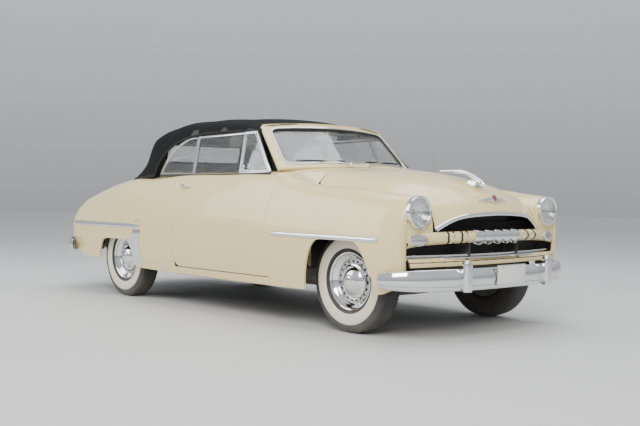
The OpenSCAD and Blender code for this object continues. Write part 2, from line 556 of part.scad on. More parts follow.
// round pipe from a to b, both in station points
module pipe(a, b, r) {
  p = k3(a);
  d = k3(b) - p;
  translate(p) rotate([0, acos(d[2] / norm(d)), atan2(d[1], d[0])]) cylinder(r = r, h = norm(d));
}
module exhaust() color(iron) {
  P = [[1104, -150, 345], [820, -320, 255], [-900, -320, 255], [-1075, -320, 422], [-1430, -320, 422], [-1520, -320, 335], [-2290, -320, 335]];
  for (i = [0:len(P) - 2]) {
    pipe(P[i], P[i + 1], 24);
    translate(k3(P[i + 1])) sphere(r = 24.01);
  }
  pipe([-300, -320, 262], [250, -320, 262], 60);
  // hanger up to a cross member
  bx(-395, -375, -328, -312, 262, 399.4 - rail_h);
  bx(1090, 1129.7, -156, -144, 335, 355);
}
module fuel_tank() color(iron) bx(-2160, -1620, -250, 430, 318, 399.7);

// ---- wheels ----
module wheel_shape(bore) {
  rotate_extrude() difference() {
    union() {
      // hub and drum, disc, rim barrel with its two flanges, cap
      translate([0, -44]) square([138, 40]);
      translate([0, -6]) square([rim_d / 2 - 4, 11]);
      translate([rim_d / 2 - 8, -62]) square([8, 124]);
      translate([rim_d / 2 - 20, -62]) square([20, 8]);
      translate([rim_d / 2 - 20, 54]) square([20, 8]);
      polygon([[0, 0], [0, 70], [40, 66], [78, 52], [104, 30], [110, 0]]);
    }
    translate([-1, -70]) square([bore + 1, 103]);
  }
}
module tyre_shape() {
  n = 16;
  m = (tyre_r + rim_d / 2 + touch) / 2;
  h = (tyre_r - rim_d / 2 - touch) / 2;
  function sup(a, k) = (a < 0 ? -1 : 1) * pow(abs(a), k);
  rotate_extrude() difference() {
    polygon([for (i = [0:n - 1]) let (a = 360 * (i + 0.5) / n) [m + h * sup(cos(a) / cos(180 / n), 0.62), tyre_w / 2 * sup(sin(a), 0.72)]]);
    square([rim_d / 2 + touch, tyre_w], center = true);
    translate([0, -tyre_w / 2]) square([rim_d / 2 + touch, tyre_w]);
  }
}
module front_place(s) translate([xf, s * yf, tyre_r]) rotate([-90 * s, 0, 0]) children();
module rear_place(s) translate([xr, s * yr, tyre_r]) rotate([-90 * s, 0, 0]) children();
module wheel_front_left() color(bright) front_place(1) wheel_shape(stub_r + run);
module wheel_front_right() color(bright) front_place(-1) wheel_shape(stub_r + run);
module wheel_rear_left() color(bright) rear_place(1) wheel_shape(stub_r + 4 + run);
module wheel_rear_right() color(bright) rear_place(-1) wheel_shape(stub_r + 4 + run);
module tyre_front_left() color(dark) front_place(1) tyre_shape();
module tyre_front_right() color(dark) front_place(-1) tyre_shape();
module tyre_rear_left() color(dark) rear_place(1) tyre_shape();
module tyre_rear_right() color(dark) rear_place(-1) tyre_shape();

// ---- cabin ----
module front_seat() color([0.35, 0.2, 0.16]) {
  both() bx(-150, 330, 160, 600, 415.3, 562);
  bx(-190, 380, -640, 640, 560, seat_z);
  across([[-150, seat_z - 60], [-195, back_z], [-330, back_z], [-300, 560], [-190, 560]], -640, 640);
}
module rear_seat() color([0.35, 0.2, 0.16]) {
  bx(-925, -560, -600, 600, 520.3, 625);
  bx(-1000, -540, -600, 600, 620.3, 740);
  across([[-1000, 620.3], [-990, 740], [-1050, 1008], [-1170, 1008], [-1150, 620.3]], -555, 555);
}
module dashboard() color(paint) {
  across([[917.2, 980], [790, 1055], [700, 1055], [676, 1030], [690, 900], [730, 880], [760, 900], [760, 960], [917.2, 960]], -640, 640);
  // steering column, up to the wheel's hub
  pipe([924, 370, 752], [530.3, 370, 962.5], 21);
}
module steering_wheel() color(dark) translate(k3([520, 370, 968])) rotate([0, -62, 0]) {
  cylinder(r = 34, h = 22, center = true);
  rotate_extrude() translate([wheel_d / 2, 0]) circle(11);
  for (a = [0, 120, 240]) {
    rotate([0, 0, a]) translate([25, 0, 0]) rotate([0, 90, 0]) cylinder(r = 6, h = wheel_d / 2 - 25);
  }
}

chassis_frame();
floor_pan();
cowl();
front_structure();
fender_left();
fender_right();
quarter_left();
quarter_right();
sills();
deck_panel();
trunk_lid();
hood();
door_left();
door_right();
door_glass_left();
door_glass_right();
windshield_frame();
windshield_glass();
quarter_glass();
soft_top();
top_bows();
rear_window();
front_bumper();
rear_bumper();
grille();
headlights();
tail_lights();
engine();
rear_axle();
exhaust();
fuel_tank();
front_suspension();
knuckle_left();
knuckle_right();
wheel_front_left();
wheel_front_right();
wheel_rear_left();
wheel_rear_right();
tyre_front_left();
tyre_front_right();
tyre_rear_left();
tyre_rear_right();
front_seat();
rear_seat();
dashboard();
steering_wheel();
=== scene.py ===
"""Visual model of a two-door family car of the early 1950s with its cloth top raised.

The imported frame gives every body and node. This script dresses them: painted
panels, bright work, glass, cloth, seats, wheels, cabin and underside. Metres,
+X forward, +Y the car's left, +Z up.
"""

from __future__ import annotations

import json
import logging
import math
from dataclasses import dataclass, field
from enum import Enum
from typing import Callable, Sequence

import bmesh
import bpy
import numpy as np
from mathutils import Matrix, Vector

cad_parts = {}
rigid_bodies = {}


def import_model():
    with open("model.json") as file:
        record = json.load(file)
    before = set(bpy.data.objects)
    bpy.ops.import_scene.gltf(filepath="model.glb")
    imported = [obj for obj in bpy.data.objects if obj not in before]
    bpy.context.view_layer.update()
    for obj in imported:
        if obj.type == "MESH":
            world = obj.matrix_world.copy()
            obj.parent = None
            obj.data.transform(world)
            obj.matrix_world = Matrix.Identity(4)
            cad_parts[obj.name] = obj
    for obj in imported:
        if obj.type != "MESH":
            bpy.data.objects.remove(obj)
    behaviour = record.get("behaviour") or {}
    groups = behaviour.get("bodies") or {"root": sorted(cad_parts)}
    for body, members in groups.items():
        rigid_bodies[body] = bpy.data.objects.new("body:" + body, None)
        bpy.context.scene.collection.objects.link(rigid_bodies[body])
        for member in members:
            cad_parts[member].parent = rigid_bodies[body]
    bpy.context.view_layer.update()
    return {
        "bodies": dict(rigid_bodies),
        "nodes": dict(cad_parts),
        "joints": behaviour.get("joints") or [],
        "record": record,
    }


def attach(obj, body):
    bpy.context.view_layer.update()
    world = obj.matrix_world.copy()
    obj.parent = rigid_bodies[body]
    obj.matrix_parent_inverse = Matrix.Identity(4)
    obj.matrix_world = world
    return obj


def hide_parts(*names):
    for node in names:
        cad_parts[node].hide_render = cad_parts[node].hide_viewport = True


LOG = logging.getLogger("car")
Array = np.ndarray
DATUM = 70.0
TYRE_R = 353.0
XF = 1641.5
XR = XF - 2896.0
YF = 710.0
YR = 742.5


# ---------------------------------------------------------------- finishes
class Group(Enum):
    """Shared shader groups."""

    GRAIN = "surface_grain"
    DUST = "road_dust"
    WEAVE = "cloth_weave"
    WEAR = "rubbed_wear"


class Graph:
    """Adds and joins nodes in one node tree."""

    def __init__(self, tree: bpy.types.NodeTree) -> None:
        """Keeps the tree to build in."""
        self.tree = tree

    def add(self, kind: str, values: dict | None = None, **props: object) -> bpy.types.Node:
        """Adds a node.

        Args:
            kind: the node's type name.
            values: input values by socket name or index.
            props: plain properties of the node.
        Returns:
            The new node.
        """
        node = self.tree.nodes.new(kind)
        for key, value in props.items():
            setattr(node, key, value)
        for key, value in (values or {}).items():
            node.inputs[key].default_value = value
        return node

    def join(self, source: bpy.types.NodeSocket, node: bpy.types.Node, socket: str | int) -> None:
        """Links a socket to a node's input."""
        self.tree.links.new(source, node.inputs[socket])

    def math(self, mode: str, a: object, b: object = 0.0, clamp: bool = False) -> bpy.types.NodeSocket:
        """A math node of two sockets or numbers.

        Args:
            mode: operation name.
            a: first socket or number.
            b: second socket or number.
            clamp: keeps the result between 0 and 1.
        Returns:
            The result socket.
        """
        node = self.add("ShaderNodeMath", operation=mode, use_clamp=clamp)
        for i, item in enumerate((a, b)):
            if isinstance(item, bpy.types.NodeSocket):
                self.join(item, node, i)
            else:
                node.inputs[i].default_value = float(item)
        return node.outputs[0]

    def blend(self, mask: bpy.types.NodeSocket, a: object, b: object) -> bpy.types.NodeSocket:
        """Mixes two colours or sockets by a mask and returns the colour socket."""
        node = self.add("ShaderNodeMix", data_type="RGBA")
        self.join(mask, node, 0)
        for i, item in ((6, a), (7, b)):
            if isinstance(item, bpy.types.NodeSocket):
                self.join(item, node, i)
            else:
                node.inputs[i].default_value = (*item, 1.0)
        return node.outputs[2]

    def spread(self, mask: bpy.types.NodeSocket, low: float, high: float) -> bpy.types.NodeSocket:
        """Maps a 0 to 1 mask onto a range of values."""
        node = self.add("ShaderNodeMapRange", {3: low, 4: high})
        self.join(mask, node, 0)
        return node.outputs[0]


def make_group(kind: Group, inputs: dict[str, float], outputs: Sequence[str]) -> tuple[Graph,
        bpy.types.Node, bpy.types.Node]:
    """Starts a shader group with named sockets.

    Args:
        kind: which shared group.
        inputs: input names and their default values.
        outputs: output names.
    Returns:
        The graph, its input node and its output node.
    """
    tree = bpy.data.node_groups.new(kind.value, "ShaderNodeTree")
    tree.interface.new_socket("Coordinates", in_out="INPUT", socket_type="NodeSocketVector")
    for name, value in inputs.items():
        sock = tree.interface.new_socket(name, in_out="INPUT", socket_type="NodeSocketFloat")
        sock.default_value = value
    for name in outputs:
        tree.interface.new_socket(name, in_out="OUTPUT", socket_type="NodeSocketFloat")
    graph = Graph(tree)
    return graph, graph.add("NodeGroupInput"), graph.add("NodeGroupOutput")


def build_groups() -> None:
    """Builds the shared shader groups once."""
    g, i, o = make_group(Group.GRAIN, {"Scale": 60.0, "Detail": 4.0, "Contrast": 1.0}, ["Height", "Mask"])
    noise = g.add("ShaderNodeTexNoise")
    for name in ("Scale", "Detail"):
        g.join(i.outputs[name], noise, name)
    g.join(i.outputs["Coordinates"], noise, "Vector")
    wide = g.add("ShaderNodeTexNoise", {"Detail": 3.0})
    g.join(i.outputs["Coordinates"], wide, "Vector")
    g.join(g.math("MULTIPLY", i.outputs["Scale"], 0.07), wide, "Scale")
    g.join(noise.outputs["Fac"], o, "Height")
    stretched = g.math("MULTIPLY", g.math("SUBTRACT", wide.outputs["Fac"], 0.5), i.outputs["Contrast"])
    g.join(g.math("ADD", g.math("MULTIPLY", stretched, 2.2), 0.5, True), o, "Mask")

    g, i, o = make_group(Group.DUST, {"Top": 0.5, "Amount": 0.4, "Speckle": 14.0}, ["Mask"])
    split = g.add("ShaderNodeSeparateXYZ")
    g.join(i.outputs["Coordinates"], split, 0)
    fall = g.math("SUBTRACT", 1.0, g.math("DIVIDE", split.outputs["Z"], i.outputs["Top"]), True)
    noise = g.add("ShaderNodeTexNoise", {"Detail": 6.0, "Roughness": 0.7})
    g.join(i.outputs["Coordinates"], noise, "Vector")
    g.join(i.outputs["Speckle"], noise, "Scale")
    patchy = g.math("MULTIPLY", fall, g.math("MULTIPLY", noise.outputs["Fac"], 1.7))
    g.join(g.math("MULTIPLY", patchy, i.outputs["Amount"], True), o, "Mask")

    g, i, o = make_group(Group.WEAVE, {"Thread": 900.0, "Slub": 0.35}, ["Height", "Mask"])
    waves = []
    for axis in ("X", "Y"):
        wave = g.add("ShaderNodeTexWave", {"Distortion": 0.6, "Detail": 1.0}, bands_direction=axis)
        g.join(i.outputs["Coordinates"], wave, "Vector")
        g.join(i.outputs["Thread"], wave, "Scale")
        waves.append(wave.outputs["Fac"])
    noise = g.add("ShaderNodeTexNoise", {"Scale": 45.0, "Detail": 8.0, "Roughness": 0.75})
    g.join(i.outputs["Coordinates"], noise, "Vector")
    woven = g.math("MAXIMUM", waves[0], waves[1])
    g.join(g.math("ADD", woven, g.math("MULTIPLY", noise.outputs["Fac"], i.outputs["Slub"])), o, "Height")
    g.join(noise.outputs["Fac"], o, "Mask")

    g, i, o = make_group(Group.WEAR, {"Scale": 25.0, "Cut": 0.62}, ["Mask"])
    noise = g.add("ShaderNodeTexNoise", {"Detail": 10.0, "Roughness": 0.65})
    g.join(i.outputs["Coordinates"], noise, "Vector")
    g.join(i.outputs["Scale"], noise, "Scale")
    sharp = g.math("MULTIPLY", g.math("SUBTRACT", noise.outputs["Fac"], i.outputs["Cut"]), 9.0, True)
    g.join(sharp, o, "Mask")


@dataclass(frozen=True)
class Finish:
    """A surface finish: colour, gloss, and the marks that a real one carries."""

    name: str
    colour: tuple[float, float, float]
    rough: float = 0.4
    metal: float = 0.0
    second: tuple[float, float, float] | None = None
    grain: float = 60.0
    bump: float = 0.1
    depth: float = 0.0005
    contrast: float = 1.0
    rough_swing: float = 0.08
    coat: float = 0.0
    sheen: float = 0.0
    specular: float = 0.5
    transmission: float = 0.0
    alpha: float = 1.0
    ior: float = 1.5
    dust: float = 0.0
    dust_top: float = 0.5
    weave: float = 0.0
    wear: float = 0.0
    glow: float = 0.0
    fluted: tuple[str, float] | None = None

    def material(self) -> bpy.types.Material:
        """Builds the finish's material, or returns the one already built."""
        found = bpy.data.materials.get(self.name)
        if found:
            return found
        made = bpy.data.materials.new(self.name)
        made.use_nodes = True
        made.node_tree.nodes.clear()
        g = Graph(made.node_tree)
        out = g.add("ShaderNodeOutputMaterial")
        shader = g.add("ShaderNodeBsdfPrincipled", {
            "Metallic": self.metal, "Coat Weight": self.coat, "Coat Roughness": 0.03, "IOR": self.ior,
            "Specular IOR Level": self.specular, "Sheen Weight": self.sheen, "Sheen Roughness": 0.5,
            "Transmission Weight": self.transmission, "Alpha": self.alpha, "Emission Strength": self.glow,
        })
        if self.glow:
            shader.inputs["Emission Color"].default_value = (*self.colour, 1.0)
        g.join(shader.outputs[0], out, "Surface")
        where = g.add("ShaderNodeTexCoord").outputs["Object"]
        grain = self.group(g, Group.GRAIN, where, {"Scale": self.grain, "Contrast": self.contrast})
        second = self.second or tuple(c * 0.86 for c in self.colour)
        colour = g.blend(grain.outputs["Mask"], self.colour, second)
        rough = g.spread(grain.outputs["Mask"], max(0.0, self.rough - self.rough_swing),
                         min(1.0, self.rough + self.rough_swing))
        height = grain.outputs["Height"]
        if self.weave:
            weave = self.group(g, Group.WEAVE, where, {"Thread": self.weave})
            colour = g.blend(weave.outputs["Mask"], colour, tuple(c * 1.9 + 0.004 for c in self.colour))
            height = weave.outputs["Height"]
        if self.wear:
            wear = self.group(g, Group.WEAR, where, {"Cut": self.wear})
            colour = g.blend(wear.outputs["Mask"], colour, tuple(0.5 * c + 0.06 for c in self.colour))
            rough = g.math("ADD", rough, g.math("MULTIPLY", wear.outputs["Mask"], 0.2), True)
        if self.dust:
            dust = self.group(g, Group.DUST, where, {"Top": self.dust_top, "Amount": self.dust})
            colour = g.blend(dust.outputs["Mask"], colour, (0.30, 0.27, 0.23))
            rough = g.math("ADD", rough, g.math("MULTIPLY", dust.outputs["Mask"], 0.45), True)
        if self.fluted:
            flute = g.add("ShaderNodeTexWave", {"Scale": self.fluted[1]}, bands_direction=self.fluted[0])
            g.join(where, flute, "Vector")
            height = flute.outputs["Fac"]
        bump = g.add("ShaderNodeBump", {"Strength": self.bump, "Distance": self.depth})
        g.join(height, bump, "Height")
        g.join(bump.outputs[0], shader, "Normal")
        g.join(colour, shader, "Base Color")
        g.join(rough, shader, "Roughness")
        return made

    @staticmethod
    def group(g: Graph, kind: Group, where: bpy.types.NodeSocket, values: dict[str, float]) -> bpy.types.Node:
        """Places a shared group with its own values."""
        node = g.add("ShaderNodeGroup", node_tree=bpy.data.node_groups[kind.value])
        for name, value in values.items():
            node.inputs[name].default_value = value
        g.join(where, node, "Coordinates")
        return node


ENAMEL = Finish("cream_enamel", (0.84, 0.69, 0.345), 0.30, second=(0.825, 0.67, 0.33), grain=700, bump=0.03,
                depth=0.0002,
                rough_swing=0.03, coat=0.55, dust=0.10, dust_top=0.42)
CHROME = Finish("bright_chrome", (0.86, 0.86, 0.87), 0.09, 1.0, (0.78, 0.78, 0.79), 90, 0.02,
                rough_swing=0.05, dust=0.06, dust_top=0.5)
SATIN_STEEL = Finish("brushed_steel", (0.62, 0.61, 0.59), 0.28, 1.0, (0.48, 0.47, 0.45), 160, 0.08)
GLASS = Finish("window_glass", (0.80, 0.90, 0.86), 0.02, second=(0.77, 0.88, 0.84), grain=8, bump=0.004,
               rough_swing=0.01,
               transmission=1.0, alpha=0.26, ior=1.45)
LENS = Finish("clear_lens", (0.93, 0.94, 0.94), 0.03, second=(0.90, 0.91, 0.91), grain=30, bump=0.35,
              depth=0.002,
              rough_swing=0.01, transmission=1.0, alpha=0.75, ior=1.46, fluted=("Y", 34.0))
RED_LENS = Finish("red_lens", (0.62, 0.02, 0.015), 0.08, second=(0.45, 0.01, 0.01), grain=40, bump=0.3,
                  depth=0.002, coat=0.6,
                  rough_swing=0.02, fluted=("Z", 60.0))
REFLECTOR = Finish("lamp_reflector", (0.93, 0.93, 0.92), 0.12, 1.0, (0.86, 0.86, 0.85), 30, 0.02)
BULB = Finish("lamp_bulb", (0.95, 0.92, 0.84), 0.2, second=(0.90, 0.87, 0.78), grain=20)
RUBBER = Finish("tyre_rubber", (0.022, 0.021, 0.020), 0.62, second=(0.040, 0.037, 0.034), grain=220,
                bump=0.25, dust=0.35,
                dust_top=0.30)
WHITEWALL = Finish("whitewall_band", (0.80, 0.74, 0.60), 0.45, second=(0.74, 0.67, 0.52), grain=60,
                   bump=0.10, contrast=1.3)
SEAL = Finish("black_rubber_seal", (0.018, 0.018, 0.018), 0.55, second=(0.03, 0.03, 0.03), grain=240,
              bump=0.2)
CANVAS = Finish("black_top_canvas", (0.0045, 0.0045, 0.0050), 0.85, second=(0.008, 0.008, 0.0085),
                grain=120, bump=0.35,
                depth=0.0008, weave=420.0, specular=0.12)
BINDING = Finish("top_binding_tape", (0.006, 0.006, 0.0065), 0.7, specular=0.2, second=(0.02, 0.02, 0.02),
                 grain=320, bump=0.4, weave=700.0)
LINING = Finish("grey_headlining", (0.12, 0.125, 0.12), 0.85, second=(0.09, 0.095, 0.09), grain=200,
                bump=0.3, weave=520.0)
LEATHER = Finish("dark_seat_leather", (0.062, 0.040, 0.032), 0.42, second=(0.040, 0.026, 0.021), grain=420,
                 bump=0.28,
                 depth=0.0007, rough_swing=0.10, wear=0.70)
CARPET = Finish("dark_loop_carpet", (0.030, 0.028, 0.026), 0.95, second=(0.052, 0.048, 0.043), grain=900,
                bump=0.8, depth=0.003)
IVORY = Finish("ivory_plastic", (0.66, 0.58, 0.42), 0.25, second=(0.60, 0.52, 0.36), grain=40, bump=0.03,
               coat=0.4)
BLACK_KNOB = Finish("black_switch_plastic", (0.02, 0.02, 0.02), 0.3, second=(0.03, 0.03, 0.03), grain=80,
                    bump=0.05)
DIAL = Finish("dial_face", (0.035, 0.04, 0.038), 0.4, second=(0.05, 0.055, 0.05), grain=50)
CHASSIS = Finish("chassis_black", (0.016, 0.016, 0.016), 0.55, second=(0.035, 0.031, 0.027), grain=80,
                 bump=0.25, contrast=1.6,
                 dust=0.9, dust_top=0.62, wear=0.66)
UNDERSEAL = Finish("underbody_seal", (0.018, 0.018, 0.017), 0.85, second=(0.040, 0.036, 0.031), grain=260,
                   bump=0.6, depth=0.002,
                   contrast=1.5, dust=0.8, dust_top=0.75)
IRON = Finish("engine_enamel", (0.085, 0.095, 0.10), 0.45, second=(0.05, 0.05, 0.05), grain=90, bump=0.3,
              contrast=1.5, wear=0.62)
ZINC = Finish("dull_zinc_plate", (0.42, 0.42, 0.40), 0.38, 0.9, (0.28, 0.27, 0.25), 120, 0.2, wear=0.62)
EXHAUST = Finish("aged_exhaust_steel", (0.20, 0.16, 0.13), 0.62, 0.6, (0.11, 0.075, 0.05), 70, 0.3,
                 contrast=1.8, wear=0.58)
# Near-black painted shade: it stands for the shade inside openings, behind the grille, in the wheel slots,
# between the grille chevrons and in the tail pipe's mouth.
PAINTED_SHADE = Finish("painted_shade_in_openings", (0.008, 0.008, 0.008), 0.7, second=(0.014, 0.014, 0.014),
                     grain=120, bump=0.2)
BLANK_PLATE = Finish("blank_plate_enamel", (0.80, 0.80, 0.78), 0.35, second=(0.76, 0.76, 0.74), grain=60,
                     bump=0.05, coat=0.3)
BAKELITE_RED = Finish("badge_red_enamel", (0.34, 0.03, 0.02), 0.2, second=(0.28, 0.02, 0.015), grain=80,
                      coat=0.7)


# ---------------------------------------------------------------- curves and nets
def spline_weights(knots: Array, s: Array) -> Array:
    """Weights of a smooth natural spline through values at the knots.

    Args:
        knots: rising knot places.
        s: where the curve is wanted.
    Returns:
        One row of weights for each entry of s.
    """
    n, h = len(knots), np.diff(knots)
    a, d = np.eye(n), np.zeros((n, n))
    for i in range(1, n - 1):
        a[i, i - 1:i + 2] = h[i - 1], 2 * (h[i - 1] + h[i]), h[i]
        d[i, i - 1], d[i, i + 1] = 6 / h[i - 1], 6 / h[i]
        d[i, i] = -d[i, i - 1] - d[i, i + 1]
    b = np.linalg.solve(a, d)
    i = np.clip(np.searchsorted(knots, s, side="right") - 1, 0, n - 2)
    t = (s - knots[i]) / h[i]
    k = np.arange(len(s))
    w = np.zeros((len(s), n))
    w[k, i] += 1 - t
    w[k, i + 1] += t
    hh = (h[i] ** 2 / 6)[:, None]
    return w + hh * (((1 - t) ** 3 - (1 - t))[:, None] * b[i] + (t ** 3 - t)[:, None] * b[i + 1])


def curve(points: Sequence[Sequence[float]], count: int) -> Array:
    """A smooth curve of count points through the given ones."""
    p = np.array(points, float)
    return spline_weights(np.arange(len(p), dtype=float), np.linspace(0, len(p) - 1, count)) @ p


def unit(v: Array) -> Array:
    """Vectors of length one."""
    return v / np.maximum(np.linalg.norm(v, axis=-1, keepdims=True), 1e-12)


def world(p: Array) -> Array:
    """Station points in millimetres as model points in metres."""
    q = np.array(p, float)
    q[..., 0] += DATUM
    return q * 0.001


@dataclass
class Net:
    """A smooth surface through rows of points, with optional raised lines."""

    rows: Array
    relief: Callable[[Array, Array, Array], Array] | None = None

    def base(self, u: Array, v: Array) -> Array:
        """Points of the plain net at flat arrays u and v."""
        wu = spline_weights(np.arange(self.rows.shape[0], dtype=float), u)
        wv = spline_weights(np.arange(self.rows.shape[1], dtype=float), v)
        return np.einsum("ka,kb,abc->kc", wu, wv, self.rows, optimize=True)

    def facing(self, f: Callable[[Array, Array], Array], u: Array, v: Array) -> Array:
        """Outward directions of a point function at u and v."""
        e = 2e-3
        return unit(np.cross(f(u + e, v) - f(u - e, v), f(u, v + e) - f(u, v - e)))

    def point(self, u: Array, v: Array) -> Array:
        """Points with the raised lines added."""
        p = self.base(u, v)
        if self.relief is None:
            return p
        return p + self.facing(self.base, u, v) * self.relief(p, u, v)[:, None]

    def patch(self, u: Array, v: Array) -> tuple[Array, Array]:
        """Points and outward directions over a grid.

        Args:
            u: row places, any shape.
            v: column places, the same shape.
        Returns:
            Points and directions, with a last axis of three.
        """
        a, b = np.broadcast_arrays(u, v)
        fu, fv = a.ravel().astype(float), b.ravel().astype(float)
        p = self.point(fu, fv)
        n = self.facing(self.point, fu, fv)
        return p.reshape(*a.shape, 3), n.reshape(*a.shape, 3)


STATIONS = [
    (-2180, [0, 185, 370, 520, 598, 672, 742, 805, 864, 860, 828],
     [868, 865, 857, 846, 866, 870, 844, 760, 625, 495, 360]),
    (-2000, [0, 195, 390, 535, 615, 695, 768, 832, 888, 884, 850],
     [930, 927, 916, 898, 913, 911, 878, 774, 630, 490, 340]),
    (-1650, [0, 200, 400, 548, 632, 718, 796, 862, 908, 902, 868],
     [1015, 1011, 999, 982, 998, 992, 944, 820, 640, 480, 315]),
    (-1250, [0, 200, 400, 560, 645, 735, 815, 880, 920, 914, 880],
     [1072, 1068, 1054, 1040, 1048, 1045, 1000, 852, 650, 480, 292]),
    (-900, [0, 220, 430, 610, 700, 775, 835, 888, 925, 918, 883],
     [1092, 1090, 1086, 1078, 1066, 1045, 1005, 872, 655, 476, 280]),
    (-390, [0, 240, 460, 650, 750, 800, 842, 892, 931, 921, 885],
     [1100, 1100, 1098, 1090, 1088, 1070, 1035, 892, 662, 476, 274]),
    (200, [0, 240, 460, 650, 750, 800, 842, 893, 934, 923, 886],
     [1120, 1118, 1110, 1096, 1092, 1075, 1040, 898, 665, 476, 272]),
    (600, [0, 240, 460, 650, 745, 798, 842, 893, 934, 923, 886],
     [1150, 1148, 1135, 1105, 1096, 1076, 1040, 898, 665, 476, 272]),
    (860, [0, 225, 440, 610, 735, 792, 838, 887, 931, 921, 885],
     [1142, 1136, 1120, 1085, 1076, 1058, 1018, 884, 665, 476, 272]),
    (1030, [0, 200, 400, 560, 660, 745, 823, 883, 928, 919, 885],
     [1135, 1126, 1092, 1000, 1016, 1022, 992, 870, 665, 478, 272]),
    (1300, [0, 200, 400, 560, 640, 725, 815, 882, 928, 919, 885],
     [1124, 1112, 1062, 968, 982, 994, 962, 850, 665, 480, 276]),
    (1650, [0, 200, 400, 558, 640, 725, 812, 878, 923, 916, 882],
     [1090, 1078, 1030, 945, 962, 978, 946, 838, 660, 480, 282]),
    (1950, [0, 200, 395, 550, 630, 715, 796, 860, 903, 897, 862],
     [1022, 1010, 968, 903, 930, 945, 916, 812, 650, 480, 300]),
]
ST_X = np.array([s[0] for s in STATIONS], float)
ST_P = np.array([list(zip(s[1], s[2])) for s in STATIONS], float)


def section(x: float, j: int) -> Array:
    """Half-width and height of body line j at station x."""
    i = int(np.clip(np.searchsorted(ST_X, x, side="right") - 1, 0, len(ST_X) - 2))
    h = ST_X[i + 1] - ST_X[i]
    t = (x - ST_X[i]) / h

    def lean(k: int) -> Array:
        """Slope at station k from its neighbours."""
        a, b = max(k - 1, 0), min(k + 1, len(ST_X) - 1)
        return (ST_P[b, j] - ST_P[a, j]) / (ST_X[b] - ST_X[a])

    s, c = t * t, t ** 3
    return ((2 * c - 3 * s + 1) * ST_P[i, j] + (c - 2 * s + t) * h * lean(i)
            + (3 * s - 2 * c) * ST_P[i + 1, j] + (c - s) * h * lean(i + 1))


def cross_row(x: float, a: int, b: int) -> list[list[float]]:
    """Body lines a to b at station x."""
    return [[x, *section(x, j)] for j in range(a, b + 1)]


def whole(rows: Sequence) -> Array:
    """Rows of the left half joined to their mirror image."""
    r = np.array(rows, float)
    return np.concatenate([r[:, :0:-1] * (1, -1, 1), r], axis=1)


TAIL = [
    [[-2325, 518, 790], [-2348, 518, 740], [-2360, 519, 690], [-2366, 520, 640], [-2368, 521, 590],
     [-2366, 522, 530], [-2360, 523, 470], [-2350, 524, 410]],
    [[-2308, 519, 808], [-2318, 590, 806], [-2318, 655, 792], [-2314, 712, 758], [-2310, 758, 700],
     [-2306, 792, 610], [-2302, 788, 500], [-2290, 764, 395]],
    [[-2254, 520, 832], [-2258, 596, 848], [-2256, 668, 846], [-2252, 736, 816], [-2246, 796, 736],
     [-2240, 840, 618], [-2236, 836, 496], [-2226, 806, 376]],
]
NOSE = [
    [[2045, 547, 866], [2048, 625, 912], [2045, 706, 938], [2040, 784, 908], [2034, 842, 808],
     [2030, 880, 648], [2028, 874, 490], [2018, 842, 325]],
    [[2094, 549, 806], [2098, 606, 884], [2098, 690, 934], [2096, 768, 902], [2092, 822, 800],
     [2086, 852, 645], [2080, 846, 492], [2068, 815, 345]],
    [[2118, 560, 734], [2114, 594, 842], [2112, 674, 927], [2110, 768, 893], [2108, 796, 790],
     [2106, 815, 650], [2098, 808, 500], [2086, 780, 370]],
    [[2124, 590, 722], [2108, 599, 838], [2106, 678, 920], [2104, 763, 888], [2103, 786, 786],
     [2102, 788, 655], [2094, 782, 505], [2082, 754, 380]],
]
SIDE_X = [-2180, -2090, -2000, -1825, -1650, -1450, -1250, -1075, -900, -650, -390, -180, 30, 240, 450, 660,
          872, 1030, 1165,
          1300, 1475, 1650, 1800, 1950]
HOOD_NOSE = [
    [[2045, 0, 976], [2043, 198, 964], [2040, 390, 925], [2044, 546, 866]],
    [[2112, 0, 938], [2106, 197, 927], [2098, 388, 886], [2090, 547, 812]],
    [[2162, 0, 896], [2154, 196, 886], [2138, 387, 846], [2112, 549, 762]],
    [[2198, 0, 852], [2188, 196, 843], [2162, 387, 808], [2122, 550, 722]],
    [[2215, 0, 814], [2204, 196, 808], [2172, 387, 784], [2126, 551, 706]],
]
LID_TAIL = [
    [[-2372, 0, 590], [-2371, 188, 590], [-2368, 372, 590], [-2362, 520, 590]],
    [[-2368, 0, 655], [-2367, 188, 655], [-2365, 372, 655], [-2360, 520, 655]],
    [[-2350, 0, 730], [-2350, 188, 729], [-2348, 372, 728], [-2344, 520, 728]],
    [[-2315, 0, 792], [-2315, 188, 790], [-2313, 372, 787], [-2308, 519, 782]],
    [[-2262, 0, 834], [-2261, 187, 832], [-2260, 371, 827], [-2258, 520, 818]],
]
TOP_ROWS = [
    [[-1398, 0, 1068], [-1398, 230, 1061], [-1397, 430, 1046], [-1394, 580, 1039], [-1380, 690, 1051],
     [-893, 776, 1074]],
    [[-1290, 0, 1285], [-1286, 225, 1280], [-1272, 425, 1264], [-1248, 580, 1232], [-1190, 672, 1180],
     [-890, 758, 1128]],
    [[-1165, 0, 1494], [-1160, 225, 1488], [-1150, 425, 1468], [-1130, 590, 1412], [-1050, 668, 1335],
     [-862, 732, 1212]],
    [[-720, 0, 1562], [-720, 225, 1558], [-718, 430, 1547], [-712, 580, 1508], [-700, 648, 1440],
     [-660, 686, 1362]],
    [[-250, 0, 1566], [-250, 225, 1562], [-250, 430, 1551], [-250, 580, 1518], [-250, 646, 1470],
     [-250, 670, 1422]],
    [[150, 0, 1552], [150, 225, 1547], [150, 430, 1530], [150, 578, 1498], [150, 642, 1462],
     [150, 664, 1424]],
    [[510, 0, 1494], [503, 215, 1490], [484, 415, 1479], [458, 562, 1463], [440, 632, 1446],
     [436, 655, 1424]],
]


def bell(x: Array, centre: float, width: float) -> Array:
    """A smooth hump of height one."""
    return np.exp(-(((x - centre) / width) ** 2))


def fade(x: Array, a: float, b: float, soft: float) -> Array:
    """One between a and b, falling to zero over soft outside them."""
    return np.clip((x - a) / soft + 1, 0, 1) * np.clip((b - x) / soft + 1, 0, 1)


